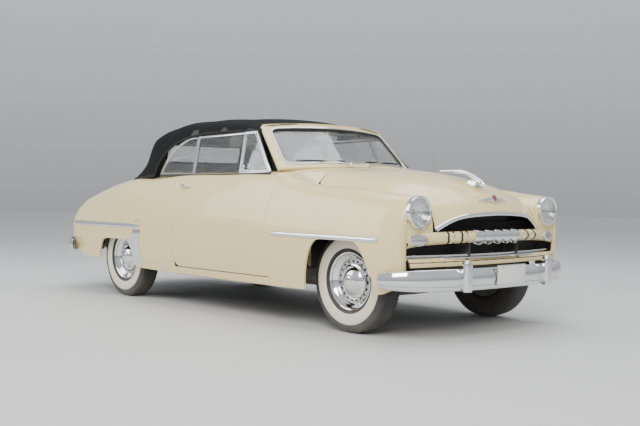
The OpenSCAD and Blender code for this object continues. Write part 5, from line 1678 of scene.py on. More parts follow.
@dataclass
class BrightTrim:
    """Spears, mouldings, handles, ornament, badge, wipers and aerial."""

    spear_half: float = 0.0165
    spear_rise: float = 0.010

    def build(self) -> None:
        """Builds the trim of both sides and the middle."""
        self.side_spears()
        self.stone_guards()
        self.door_handles()
        self.hood_trim()
        self.wipers()
        self.aerial()

    def moulding(self, name: str, points: Sequence[Sequence[float]], half: float, count: int,
                 ends: tuple[float, float]) -> bpy.types.Object:
        """A crowned bright strip along the body side."""
        p, n = side_path(points, count, 0.5)
        s = np.linspace(0, 1, count)
        size = np.clip(np.minimum(ends[0] + s * 9, ends[1] + (1 - s) * 9), 0.08, 1) ** 0.6
        prof = [(-half, -0.002), (half, -0.002), (half, 0.003), (half * 0.72, self.spear_rise * 0.75),
                (half * 0.2, self.spear_rise),
                (-half * 0.2, self.spear_rise), (-half * 0.72, self.spear_rise * 0.75), (-half, 0.003)]
        return sweep(name, world(p), n, prof, CHROME, grow=np.stack([size, 0.5 + 0.5 * size], 1))

    def side_spears(self) -> None:
        """Front spear, rear moulding and its three ticks."""
        front = self.moulding("front_spear_left", [(874, 653), (1200, 651), (1650, 650), (1960, 648)],
                              self.spear_half, 90, (0.0, 0.6))
        rear = self.moulding("rear_spear_left", [(-2190, 640), (-1900, 640), (-1400, 640), (-890, 639)],
                             0.020, 110, (0.5, 0.25))
        ticks = []
        for k in range(3):
            p, n = side_path([(-900 - 34 * k, 672), (-912 - 34 * k, 700)], 8, 0.5)
            ticks.append(sweep(f"tick{k}", world(p), n,
                               [(-0.004, -0.001), (0.004, -0.001), (0.003, 0.004), (-0.003, 0.004)], CHROME))
        left = join("side_spears_left", [front, rear, *ticks])
        right = mirrored(left, "side_spears_right")
        place(left, "body", slot="chrome")
        place(right, "body", slot="chrome")

    def stone_guards(self) -> None:
        """Bright ribbed shields ahead of the rear wheels."""
        z = np.linspace(610, 296, 40)
        left_edge = np.interp(z, [296, 330, 420, 490, 530, 610], [-1010, -1026, -1048, -1096, -1130, -1130])
        right_edge = np.interp(z, [296, 380, 470, 560, 600, 610], [-905, -918, -925, -900, -880, -880])
        left_edge = np.where(z > 535, -1010.0, left_edge)
        s = np.linspace(0, 1, 30)
        x = left_edge[None, :] + (right_edge - left_edge)[None, :] * s[:, None]
        u = side_u(x)
        v = np.array([[side_v(float(a), float(b)) for a, b in zip(r, z)] for r in x])
        p, n = SIDE.patch(u, v)
        rib = 1.6 + 1.6 * np.cos(s * math.pi * 5)[:, None] ** 2 * np.ones_like(z)[None, :]
        left = skin("stone_guard_left", p + n * rib[..., None], n, 2.5, (CHROME,))
        place(left, "body", slot="chrome")
        place(mirrored(left, "stone_guard_right"), "body", slot="chrome")

    def door_handles(self) -> None:
        """Pull handles with their escutcheons and lock buttons."""
        p, n = side_path([(-330, 982), (-270, 982), (-205, 981)], 30, 0)
        rise = 0.026 * np.clip(np.sin(np.linspace(0, math.pi, 30)) * 1.6, 0, 1) + 0.004
        grip = sweep("grip", world(p) + n * rise[:, None], n,
                     [(-0.011, -0.003), (0.011, -0.003), (0.011, 0.003), (0.006, 0.006), (-0.006, 0.006),
                      (-0.011, 0.003)], CHROME,
                     grow=np.stack([0.6 + 0.4 * np.sin(np.linspace(0, math.pi, 30)), np.ones(30)], 1))
        q, m = side_path([(-330, 982), (-300, 982)], 4, 0)
        r, _ = side_path([(-215, 981), (-196, 981)], 4, 0)
        pads = [dome(f"pad{k}", world(c[0]), m[0], (1, 0, 0), (0.020, 0.013, 0.007), CHROME) for k,
                c in enumerate((q, r))]
        key, kn = side_path([(-332, 905), (-330, 905)], 4, 0)
        lock = dome("lock", world(key[0]), kn[0], (1, 0, 0), (0.011, 0.011, 0.004), CHROME)
        left = join("door_left_handle", [grip, *pads, lock])
        right = mirrored(left, "door_right_handle")
        place(left, "door_left", slot="chrome")
        place(right, "door_right", slot="chrome")

    def hood_trim(self) -> None:
        """Winged ornament, shield badge and the bright lip of the hood."""
        v = np.linspace(0.06, 5.94, 120)
        p, n = HOOD.patch(np.full(120, 9.93), v)
        lip = sweep("lip", world(p + n * 1.0), n,
                    [(-0.013, -0.004), (0.013, -0.004), (0.013, 0.003), (0.006, 0.009), (-0.006, 0.009),
                     (-0.013, 0.003)], CHROME)
        body = curve([(2092, 0, 1010), (2030, 0, 1040), (1955, 0, 1080), (1850, 0, 1108), (1684, 0, 1110)],
                     50)
        s = np.linspace(0, 1, 50)
        fat = np.clip(np.minimum(0.25 + s * 6, 1.15 - s * 0.85), 0.1, 1.2)
        ring = [(0.016 * math.cos(a), 0.020 * math.sin(a)) for a in np.linspace(0, 2 * math.pi, 16,
                endpoint=False)]
        hull = sweep("ornament", world(body), np.tile((0, 0, 1.0), (50, 1)), ring, CHROME, grow=fat, sharp=60)
        foot = dome("foot", world(np.array([1990.0, 0, 1003])), (0.15, 0, 1), (1, 0, 0),
                    (0.085, 0.018, 0.050), CHROME)
        wings = []
        for side in (-1, 1):
            w = curve([(1990, 12 * side, 1072), (1950, 52 * side, 1088), (1830, 100 * side, 1098),
                       (1745, 118 * side, 1100)], 24)
            wings.append(sweep(f"wing{side}", world(w), np.tile((0, 0, 1.0), (24, 1)),
                               [(-0.028, 0), (0, -0.004), (0.022, 0), (0, 0.004)], CHROME,
                               grow=np.linspace(1.15, 0.15, 24), sharp=60))
        plate = curve([(2158, -150, 902), (2168, -70, 912), (2172, 0, 916), (2168, 70, 912),
                       (2158, 150, 902)], 40)
        out = unit(np.tile((0.85, 0, 0.5), (40, 1)))
        taper = 0.15 + 0.85 * np.sin(np.linspace(0, math.pi, 40))
        bar = sweep("badge_wings", world(plate), out,
                    [(-0.016, -0.004), (0.016, -0.004), (0.010, 0.007), (-0.010, 0.007)], CHROME, grow=taper)
        q = np.array([(0, 34), (26, 26), (24, -8), (0, -36), (-24, -8), (-26, 26)], float)
        pts = np.array([(2176 - b * 0.45, a, 916 + b * 0.85) for a, b in q])
        shield_plate = slab_of("badge_shield", world(pts), (0.88, 0, 0.47), 0.008, CHROME, 0.002)
        inner = slab_of("badge_field", world(pts * (1, 0.72, 1) + (3.6, 0, 2) - (pts - pts.mean(0)) * (0.28,
                0, 0.28)), (0.88, 0, 0.47), 0.004, BAKELITE_RED, 0.001)
        place(join("hood_ornament_and_badge", [lip, hull, foot, *wings, bar, shield_plate, inner]), "hood",
              slot="chrome")

    def wipers(self) -> None:
        """Two wiper arms parked along the foot of the windshield."""
        parts = []
        for side in (-1, 1):
            s = np.linspace(0.16, 0.80, 30) * side
            p, n = shield_patch(s, np.linspace(0.085, 0.125, 30))
            parts.append(sweep(f"blade{side}", world(p + n * 8), n,
                               [(-0.004, -0.008), (0.004, -0.008), (0.0015, 0.003), (-0.0015, 0.003)], SEAL))
            s = np.linspace(0.13, 0.50, 20) * side
            w = np.linspace(-0.02, 0.105, 20)
            p, n = shield_patch(s, w)
            parts.append(sweep(f"arm{side}", world(p + n * 19), n,
                               [(-0.004, -0.002), (0.004, -0.002), (0.003, 0.003), (-0.003, 0.003)],
                               SATIN_STEEL,
                               grow=np.linspace(1.6, 0.7, 20)))
            parts.append(lathe(f"pivot{side}", [(0, 0.026), (0.010, 0.024), (0.014, 0.012), (0.016, -0.02),
                                                (0, -0.02)], world(p[0] + n[0] * 4), n[0], (CHROME,),
                                                count=24))
        place(join("windshield_wipers", parts), "body", slot="chrome")

    def aerial(self) -> None:
        """Whip aerial on the left fender."""
        path = curve([(1020, 690, 1010), (1016, 690, 1150), (1010, 690, 1250), (1003, 689, 1374)], 30)
        mast = tube("mast", world(path), 0.0030, SATIN_STEEL, grow=np.linspace(1.5, 0.8, 30))
        base = lathe("base", [(0, 0.05), (0.006, 0.048), (0.010, 0.03), (0.014, 0.012), (0.017, 0), (0, 0)],
                     world(np.array([1020.0, 690, 1014])), (0, 0, 1), (CHROME,), count=24)
        place(join("aerial", [mast, base]), "body", slot="chrome")


FRONT_BAR = [(2314, 0), (2306, 250), (2280, 470), (2228, 660), (2162, 800), (2074, 890), (1990, 930)]
REAR_BAR = [(-2454, 0), (-2449, 250), (-2434, 470), (-2398, 660), (-2338, 800), (-2242, 890), (-2120, 922)]
GRILLE_BAR = [(2224, 0), (2214, 200), (2188, 400), (2150, 580), (2126, 700), (2112, 776)]


def plan(bar: Sequence[tuple[float, float]], s: Array) -> Array:
    """Station and half-width along a bar's plan; s counts its knots from the middle."""
    dense = curve(bar, 401)
    k = np.abs(s) / (len(bar) - 1) * 400
    x = np.interp(k, np.arange(401), dense[:, 0])
    y = np.interp(k, np.arange(401), dense[:, 1]) * np.sign(s + 1e-12)
    return np.stack([x, y], -1)


@dataclass
class Bumpers:
    """Wrap-round bumpers with guards and blank plates."""

    half_height: float = 72.0

    def build(self) -> None:
        """Builds both bumpers."""
        self.bumper("front", FRONT_BAR, 395.0, 1, 432.0)
        self.bumper("rear", REAR_BAR, 428.0, -1, 432.0)

    def bumper(self, name: str, bar: Sequence[tuple[float, float]], mid: float, way: int,
               guard: float) -> None:
        """One bumper, its two guards, bolts and its plate."""
        s = np.linspace(-6, 6, 260)
        t = np.array([-1, -0.97, -0.9, -0.72, -0.62, -0.55, -0.50, -0.42, -0.2, 0, 0.3, 0.55, 0.75, 0.9,
                      0.97, 1.0])
        out = np.array([-13, -8, -5, 1, 2.5, 1.0, 1.5, 5, 9, 10, 9, 5, 1, -4, -9, -14.0])
        q = plan(bar, s)
        drop = 26 * (np.abs(s) / 6) ** 4
        z = mid + t[None, :] * (self.half_height - drop[:, None])
        face = unit(np.stack([np.gradient(q[:, 1]), -np.gradient(q[:, 0])], 1))
        p = np.stack([q[:, None, 0] + face[:, None, 0] * out, q[:, None, 1] + face[:, None, 1] * out, z], -1)
        if way < 0:
            p = np.stack([q[:, None, 0] - np.abs(face[:, None, 0]) * out,
                          q[:, None, 1] + np.sign(q[:, None, 1]) * np.abs(face[:, None, 1]) * out * 0.6, z],
                          -1)
        n = grid_facing(p).reshape(p.shape)
        if (n[130, 8, 0] * way) < 0:
            p = p[::-1]
            n = grid_facing(p).reshape(p.shape)
        blade = skin(f"{name}_blade", p, n, 4.0, (CHROME, SATIN_STEEL))
        parts = [blade]
        x = 2304.0 if way > 0 else -2447.0
        for side in (-1, 1):
            path = np.array([(x, side * guard, h) for h in np.linspace(mid - 76, mid + 132, 26)])
            h = np.linspace(0, 1, 26)
            size = np.sqrt(np.clip(1 - np.clip((h - 0.86) / 0.142, 0, 1) ** 2, 0.02,
                                   1)) * np.clip(0.86 + h * 0.9, 0, 1)
            ring = [(0.036 * np.sign(math.cos(a)) * abs(math.cos(a)) ** 0.7,
                     0.030 * np.sign(math.sin(a)) * abs(math.sin(a)) ** 0.8)
                    for a in np.linspace(0, 2 * math.pi, 28, endpoint=False)]
            parts.append(sweep(f"guard{side}", world(path), np.tile((float(way), 0, 0), (26, 1)), ring,
                               CHROME, grow=size, sharp=60))
            arm = block(f"arm{side}", world([2064 if way > 0 else -2436,
                                             side * (360 if way > 0 else 474) - 20, mid - 43]),
                        world([2296 if way > 0 else -2242, side * (360 if way > 0 else 474) + 20,
                               mid - (3 if way > 0 else 22)]), CHASSIS, 0.004)
            parts.append(arm)
        place(join(f"{name}_bumper_chrome", parts), "body", f"{name}_bumper", slot="chrome")
        x0 = 2326.0 if way > 0 else -2468.0
        a, b = sorted((x0, x0 + way * 3.0))
        plate = block(f"{name}_plate", world([a, -152, mid - 46]), world([b, 152, mid + 84]), BLANK_PLATE,
                      0.0014)
        outline = np.array([(x0 + way * 3, y, z) for y,
                            z in filleted([(-150, mid - 44), (150, mid - 44), (150, mid + 82),
                                           (-150, mid + 82)], 9, 5)])
        rim = sweep("rim", world(outline), np.tile((float(way), 0, 0), (len(outline), 1)),
                    [(-0.004, -0.003), (0.004, -0.003), (0.003, 0.0015), (-0.003, 0.0015)], CHROME, True)
        bracket = block("bracket", world([min(a, x0 - way * 22), -110, mid - 10]),
                        world([max(b, x0 - way * 22) - (3 if way > 0 else 3), 110, mid + 24]), SATIN_STEEL,
                        0.002)
        bolts = [lathe(f"bolt{y}", [(0, 0.003), (0.004, 0.003), (0.006, 0.0015), (0.006, -0.002),
                                    (0, -0.002)], world(np.array([x0 + way * 3.0, y, mid + 68.0])),
                                    (way, 0, 0), (ZINC,), count=6)
                 for y in (-89.0, 89.0)]
        place(join(f"{name}_blank_plate", [plate, rim, bracket, *bolts]), "body")


@dataclass
class Grille:
    """Cream bar with ribbed bright centre, lower bar, pan, and an opening darkened with painted shade."""

    centre: float = 238.0

    def build(self) -> None:
        """Builds the grille."""
        s = np.linspace(-5, 5, 300)
        t = np.linspace(-1, 1, 22)
        q = plan(GRILLE_BAR, s)
        mid, half = 667 - 28 * (s / 5) ** 2, 38 + 6 * (s / 5) ** 2
        def surface(lift: float, reach: float = 1.0) -> Array:
            """Front of the bar, lifted off it."""
            bulge = -26 * np.abs(t) ** 2.6 + lift
            return np.stack([q[:, None, 0] + bulge[None, :], np.broadcast_to(q[:, None, 1], (300, 22)),
                             mid[:, None] + t[None, :] * half[:, None] * reach], -1)
        p = surface(0)
        bar = flat_plate("grille_bar", p[::-1] if grid_facing(p).reshape(p.shape)[150, 11, 0] < 0 else p,
                         5.0, ENAMEL)
        parts = [bar]
        pick = np.abs(q[:, 1]) < self.centre
        p = surface(3.2, 1.16)[pick]
        y = p[..., 1]
        ribs = 12 * np.abs(np.cos(y / self.centre * math.pi * 2.5)) ** 0.5
        edge = 10 * np.abs(np.cos(y / self.centre * math.pi * 2.5))
        p[..., 0] += ribs
        p[:, :4, 2] -= edge[:, :4] * np.array([1, 0.7, 0.4, 0.15])
        parts.append(flat_plate("grille_centre", p[::-1] if grid_facing(p).reshape(p.shape)[len(p) // 2, 11,
                0] < 0 else p, 4.0, CHROME))
        for side in (-1, 1):
            for at in (300.0, 345.0, 410.0, 455.0):
                lo = np.searchsorted(q[:, 1], side * at - 9)
                hi = np.searchsorted(q[:, 1], side * at + 9)
                band = surface(2.2)[lo:hi]
                band[..., 1] += side * 16 * (1 - np.abs(t))[None, :]
                if grid_facing(band).reshape(band.shape)[len(band) // 2, 11, 0] < 0:
                    band = band[::-1]
                # The dark chevron bands are painted shade of the gaps between the bright ones.
                parts.append(flat_plate(f"chevron{side}{at}", band, 2.5,
                                        CHROME if at in (300.0, 410.0) else PAINTED_SHADE))
        for zz, xx, hh in ((545.0, -44.0, 9.0), (527.0, -30.0, 7.0)):
            path = world(np.stack([q[:, 0] + xx, q[:, 1] * 0.985, np.full(300, zz)], 1))
            parts.append(sweep(f"low{zz}", path, np.tile((1.0, 0, 0), (300, 1)),
                               [(-hh / 1e3, -0.012), (hh / 1e3, -0.012), (hh / 1e3, 0.0), (hh / 2e3, 0.005),
                                (-hh / 2e3, 0.005), (-hh / 1e3, 0)], CHROME))
        for side in (-1, 1):
            parts.append(block(f"stay{side}", world([2036, side * 256 - 6, 540]),
                               world([2180, side * 256 + 6, 700]), CHASSIS, 0.002))
        place(join("grille_assembly", parts), "body", "grille", slot="body_paint")
        y, k = np.meshgrid(np.linspace(-772, 772, 120), np.linspace(0, 1, 12), indexing="ij")
        b = 70 * (y / 790) ** 2
        pan = np.stack([2168 + 22 * np.sin(k * math.pi / 2) - b, y, 530 - 54 * k], -1)
        if grid_facing(pan).reshape(pan.shape)[60, 6, 0] < 0:
            pan = pan[::-1]
        place(flat_plate("front_pan", pan, 1.4, ENAMEL), "body", slot="body_paint")
        for side in (-1, 1):
            y, zz = np.meshgrid(np.linspace(side * 556, side * 790, 60), np.linspace(632, 850, 56),
                                indexing="ij")
            circle = np.array([(side * 692 + 97 * math.cos(q),
                                828 + 97 * math.sin(q)) for q in np.linspace(0, 2 * math.pi, 60,
                                        endpoint=False)])
            flat, keep = trim(np.stack([y, zz], -1), circle)
            y, zz = flat[..., 0], flat[..., 1]
            apron = np.stack([2116 - 18 * ((np.abs(y) - 556) / 234) ** 1.5 - 14 * np.clip((zz - 720) / 130,
                    0, 1), y, zz], -1)
            if side < 0:
                apron, keep = apron[::-1], keep[::-1]
            facing = np.broadcast_to(unit(np.array([1.0, 0.1 * side, 0.05])), apron.shape)
            place(skin(f"headlight_apron_{'left' if side > 0 else 'right'}", apron, facing, 5.0, (ENAMEL,),
                       keep), "body", slot="body_paint")
        # A dark wall behind the grille: painted shade of the opening, with the radiator fins in front of it.
        back, zz = np.meshgrid(np.linspace(-735, 735, 60), np.linspace(500, 760, 12), indexing="ij")
        wall = np.stack([2062 - 60 * (back / 735) ** 2, back, zz], -1)
        if grid_facing(wall).reshape(wall.shape)[30, 6, 0] < 0:
            wall = wall[::-1]
        slats = []
        for z0 in np.arange(590, 760, 9.0):
            yy = np.linspace(-520, 520, 20)
            slats.append((world(np.stack([2068 - 60 * (yy / 735) ** 2, yy, np.full(20, z0)], 1)),
                          np.tile((1.0, 0, 0), (20, 1))))
        place(flat_plate("grille_backing", wall, 3.0, PAINTED_SHADE), "body")
        place(row("radiator_fins", slats, Bit.BAR, (0.013, 0.003, 0.004), 0.0145, CHASSIS), "body")


@dataclass
class Lamps:
    """Headlamps, parking lamps and tail lamps."""

    def build(self) -> None:
        """Builds the lamps of both sides."""
        c = world(np.array([2126.0, 692, 828]))
        ring = [(0.088, 0.004), (0.094, 0.011), (0.100, 0.013), (0.106, 0.009), (0.108, 0.0),
                (0.107, -0.030), (0.100, -0.045), (0.088, -0.045)]
        bezel = lathe("bezel", ring + ring[:1], c, (1, 0, 0), (CHROME,))
        lens = lathe("lens", [(0, 0.016), (0.03, 0.015), (0.06, 0.011), (0.09, 0.002), (0.09, -0.002),
                              (0.06, 0.007), (0.03, 0.011), (0, 0.012)], c, (1, 0, 0), (LENS,))
        bowl = lathe("bowl", [(0, -0.062), (0.03, -0.058), (0.06, -0.042), (0.088, -0.004), (0.091, -0.006),
                              (0.062, -0.048), (0.03, -0.066), (0, -0.070)], c, (1, 0, 0), (REFLECTOR,))
        bulb = lathe("bulb", [(0, -0.018), (0.010, -0.022), (0.014, -0.034), (0.010, -0.05), (0, -0.052)],
                     c, (1, 0, 0), (BULB,), count=24)
        left = join("headlight_left", [bezel, lens, bowl, bulb])
        place(left, "body", "headlights", slot="chrome")
        place(mirrored(left, "headlight_right"), "body", slot="chrome")
        f = unit(np.array([0.93, 0.30, 0.05]))
        at = world(np.array([2124.0, 701, 649]))
        rim = dome("rim", at - f * 0.008, f, (-0.3, 0.95, 0), (0.080, 0.040, 0.022), CHROME, 0.85)
        glass = dome("glass", at + f * 0.006, f, (-0.3, 0.95, 0), (0.066, 0.029, 0.019), LENS, 0.85)
        left = join("parking_lamp_left", [rim, glass])
        place(left, "body")
        place(mirrored(left, "parking_lamp_right"), "body")
        c = world(np.array([-2330.0, 668, 655]))
        ring = [(0.034, 0.034), (0.040, 0.040), (0.046, 0.036), (0.048, 0.022), (0.046, -0.04),
                (0.034, -0.04)]
        bezel = lathe("bezel", ring + ring[:1], c, (-1, 0, 0), (CHROME,), count=64)
        lens = lathe("lens", [(0, 0.055), (0.014, 0.053), (0.026, 0.046), (0.036, 0.030), (0.036, 0.0),
                              (0, 0.0)], c, (-1, 0, 0), (RED_LENS,), count=64)
        left = join("tail_light_left", [bezel, lens])
        place(left, "body", "tail_lights", slot="lamp_red")
        place(mirrored(left, "tail_light_right"), "body")


# ---------------------------------------------------------------- wheels
@dataclass
class Wheel:
    """One road wheel with its whitewall tyre and bright cap."""

    name: str
    x: float
    y: float
    tyre_half: float = 87.0

    def build(self) -> None:
        """Builds tyre, rim, ring and cap, facing outwards."""
        side = 1.0 if self.y > 0 else -1.0
        centre = np.array([self.x / 1000, self.y / 1000, TYRE_R / 1000])
        axis = (0.0, side, 0.0)
        h = self.tyre_half
        half = [(197, h * 0.62), (202, h * 0.72), (212, h * 0.84), (216, h * 0.885), (222, h * 0.91),
                (250, h * 0.985), (275, h), (292, h * 0.985), (296, h * 0.965), (299, h * 0.972),
                (318, h * 0.93), (333, h * 0.86), (341, h * 0.78), (344, h * 0.72), (346, h * 0.66)]
        tread: list[tuple[float, float]] = []
        for k, w in enumerate(np.linspace(0.62, -0.62, 41)):
            deep = 6.0 if k % 8 == 4 else 0.0
            crown = 352.6 - 5.5 * (abs(w) / 0.62) ** 2.4
            tread.append((crown - deep, h * w))
        back = [(r, -z) for r, z in half[::-1]]
        prof = [(r / 1000, z / 1000) for r, z in half + tread + back + [(197, -h * 0.5), (197, h * 0.5),
                (197, h * 0.62)]]
        slots = [0] * (len(prof) - 1)
        for k in range(4, 8):
            slots[k] = 1
        tyre = lathe(f"{self.name}_tyre", prof, centre, axis, (RUBBER, WHITEWALL), slots, 128)
        place(tyre, self.name, self.name.replace("wheel", "tyre"), slot="tyre")
        sipes = []
        for w in (0.70, -0.70):
            sipes.append(ring_path(centre + np.array([0, w * h / 1000, 0]), 0.3425, 1, 48, side))
        lugs = row(f"{self.name}_shoulder_lugs", sipes, Bit.BAR, (0.012, 0.010, 0.010), 0.0235, RUBBER)
        place(lugs, self.name, slot="tyre")
        rim = [(0.0, -6), (100, -6), (138, -40), (150, -44), (178, -58), (196, -62), (196, -54), (186, -50),
               (186, 50), (196, 54), (197, 61), (191, 63), (182, 60), (178, 50),
               (176, 30), (166, 18), (140, 12), (112, 16), (100, 6), (0, 6), (0, -6)]
        disc = lathe(f"{self.name}_rim", [(r / 1000, z / 1000) for r, z in rim], centre, axis,
                     (CHASSIS, ENAMEL), [0] * 18 + [0, 0], 96)
        ring = [(150, 26), (153, 31), (160, 36), (172, 46), (184, 61), (196, 68), (199, 66), (198, 62),
                (186, 56), (172, 41), (158, 30), (150, 24), (150, 26)]
        trim_ring = lathe("trim_ring", [(r / 1000, z / 1000) for r, z in ring], centre, axis, (CHROME,),
                          count=128)
        cap = [(0, 82), (14, 81.5), (30, 79), (33, 77.5), (36, 78), (58, 71), (80, 58), (94, 44), (100, 38),
               (106, 36), (114, 34), (118, 28), (117, 22), (104, 24), (0, 40), (0, 82)]
        hub = lathe("hub_cap", [(r / 1000, z / 1000) for r, z in cap], centre, axis, (CHROME,), count=128)
        # Dark pegs in the wheel disc are painted shade standing for its slots.
        holes = [ring_path(centre + np.array([0, side * 0.0245, 0]), 0.133, 1, 24, side)]
        vents = row(f"{self.name}_slots", holes, Bit.PEG, (0.020, 0.013, 0.004), 2 * math.pi * 0.133 / 20,
                    PAINTED_SHADE)
        dark = [(112, 16), (125, 24), (150, 25), (156, 22), (150, 17), (112, 12), (112, 16)]
        band = lathe("band", [(r / 1000, z / 1000) for r, z in dark], centre, axis, (SATIN_STEEL,), count=96)
        drum = lathe("drum", [(0, -0.045), (0.138, -0.045), (0.138, -0.008), (0, -0.008)], centre, axis,
                     (IRON,), count=64)
        valve = tube("valve", centre + np.array([[0.172, side * 0.03, 0], [0.168, side * 0.052, 0]]), 0.004,
                     BLACK_KNOB)
        place(join(f"{self.name}_steel", [disc, drum, valve]), self.name, self.name, slot="black_steel")
        place(join(f"{self.name}_bright", [trim_ring, hub, band]), self.name, slot="chrome")
        place(vents, self.name)


# ---------------------------------------------------------------- running gear
@dataclass
class RunningGear:
    """CAD nodes that keep their shape, and the small pieces fixed on them."""

    finishes: dict[str, Finish] = field(default_factory=lambda: {
        "chassis_frame": CHASSIS, "floor_pan": UNDERSEAL, "front_structure": CHASSIS, "top_bows": CHASSIS,
        "rear_axle": IRON,
        "exhaust": EXHAUST, "fuel_tank": ZINC, "front_suspension": CHASSIS, "knuckle_left": IRON,
        "knuckle_right": IRON,
        "engine": IRON, "dashboard": ENAMEL})

    def build(self, nodes: dict[str, bpy.types.Object]) -> None:
        """Dresses the kept nodes and adds bolts, straps, springs and pipes."""
        for name, finish in self.finishes.items():
            mesh = nodes[name].data
            mesh.materials.clear()
            mesh.materials.append(finish.material())
        self.frame_details()
        self.front_end()
        self.tank_straps()

    def frame_details(self) -> None:
        """Rivets along the rails and the brake line."""
        paths = []
        for side in (-1, 1):
            for z in (330.0, 384.0):
                paths.append((world(np.array([(x, side * 510.6, z) for x in np.linspace(-900, 1040, 40)])),
                              np.tile((0.0, side, 0), (40, 1))))
        place(row("frame_rivets", paths, Bit.BEAD, (0.014, 0.014, 0.006), 0.075, CHASSIS), "body")
        pipe = curve([(1700, -418, 350), (1200, -418, 345), (900, -432, 335), (0, -432, 335),
                      (-900, -432, 345), (-1060, -425, 470), (-1300, -425, 520)], 80)
        fuel = curve([(-1640, 432, 385), (-1200, 432, 470), (-1000, 430, 380), (0, 430, 345),
                      (900, 430, 345), (1150, 300, 380)], 80)
        place(join("brake_and_fuel_lines", [tube("line", world(pipe), 0.004, ZINC),
                                            tube("fuel", world(fuel), 0.004, ZINC)]), "body")

    def front_end(self) -> None:
        """Coil springs, dampers, rear spring leaves and the tie rod."""
        parts = []
        for side in (-1, 1):
            a = np.linspace(0, 2 * math.pi * 6.5, 260)
            c = world(np.array([XF - DATUM, side * 505, 262.0]))
            path = np.stack([c[0] + 0.052 * np.cos(a), c[1] + 0.052 * np.sin(a),
                             np.linspace(0.283, 0.448, 260)], 1)
            parts.append(tube(f"coil{side}", path, 0.008, CHASSIS, sides=10))
            parts.append(tube(f"damper{side}", np.array([[XR / 1000 - 0.16, side * 0.40, 0.335],
                                                         [XR / 1000 - 0.19, side * 0.385, 0.53]]), 0.022,
                                                         IRON, sides=20))
            for k, reach in enumerate((560, 450, 340, 230)):
                x = np.linspace(-reach, reach, 20)
                leaf = np.stack([(XR + x) / 1000, np.full(20, side * 0.475), 0.2585 - 0.0068 * k + 0 * x], 1)
                parts.append(sweep(f"leaf{side}{k}", leaf, np.tile((0, 0, 1.0), (20, 1)),
                                   [(-0.026, -0.003), (0.026, -0.003), (0.026, 0.003), (-0.026, 0.003)],
                                   CHASSIS))
            for x in (-48, 48):
                parts.append(tube(f"ubolt{side}{x}",
                                  np.array([[(XR + x) / 1000, side * 0.452, 0.235],
                                            [(XR + x) / 1000, side * 0.452, 0.352]]), 0.006, ZINC))
                parts.append(tube(f"vbolt{side}{x}",
                                  np.array([[(XR + x) / 1000, side * 0.498, 0.235],
                                            [(XR + x) / 1000, side * 0.498, 0.352]]), 0.006, ZINC))
        tie = np.array([[XF / 1000 - 0.11, -0.52, 0.222], [XF / 1000 - 0.12, 0.0, 0.214],
                        [XF / 1000 - 0.11, 0.52, 0.222]])
        parts.append(tube("tie_rod", tie, 0.011, IRON))
        place(join("springs_and_links", parts), "body")

    def tank_straps(self) -> None:
        """Straps and seam of the fuel tank, and the tail pipe's bright end."""
        parts = []
        for x in (-2020.0, -1760.0):
            loop = [(-254, 400), (-254, 314), (434, 314), (434, 400)]
            path = filleted(loop, 14, 5)
            half = path[(path[:, 1] < 399.5)]
            pts = np.array([(x, a, b) for a, b in half])
            parts.append(sweep(f"strap{x}", world(pts), np.tile((1.0, 0, 0), (len(pts), 1)),
                               [(-0.002, -0.016), (0.002, -0.016), (0.002, 0.016), (-0.002, 0.016)], CHASSIS))
        rim = np.array([(x, y, 359.0) for x, y in filleted([(-2164, -254), (-1616, -254), (-1616, 434),
                                                            (-2164, 434)], 20, 5)])
        parts.append(sweep("tank_seam", world(rim), np.tile((0, 0, 1.0), (len(rim), 1)),
                           [(-0.006, -0.0015), (0.006, -0.0015), (0.006, 0.0015), (-0.006, 0.0015)], ZINC,
                           True))
        c = world(np.array([-2290.0, -320, 335]))
        parts.append(lathe("tail_pipe", [(0.0215, 0.0), (0.0252, 0.0), (0.0256, 0.004), (0.0256, -0.075),
                                         (0.024, -0.078), (0.0215, -0.07), (0.0215, 0.0)], c, (-1, 0, 0),
                                         (CHROME,), count=48))
        # A dark disc just inside the tail pipe's mouth is painted shade of its bore.
        parts.append(lathe("pipe_end", [(0.0, -0.0005), (0.0214, -0.0005), (0.0214, -0.004), (0, -0.004)],
                           c + np.array([-0.0012, 0, 0]), (-1, 0, 0), (PAINTED_SHADE,), count=32))
        place(join("tank_straps_and_tail_pipe", parts), "body")


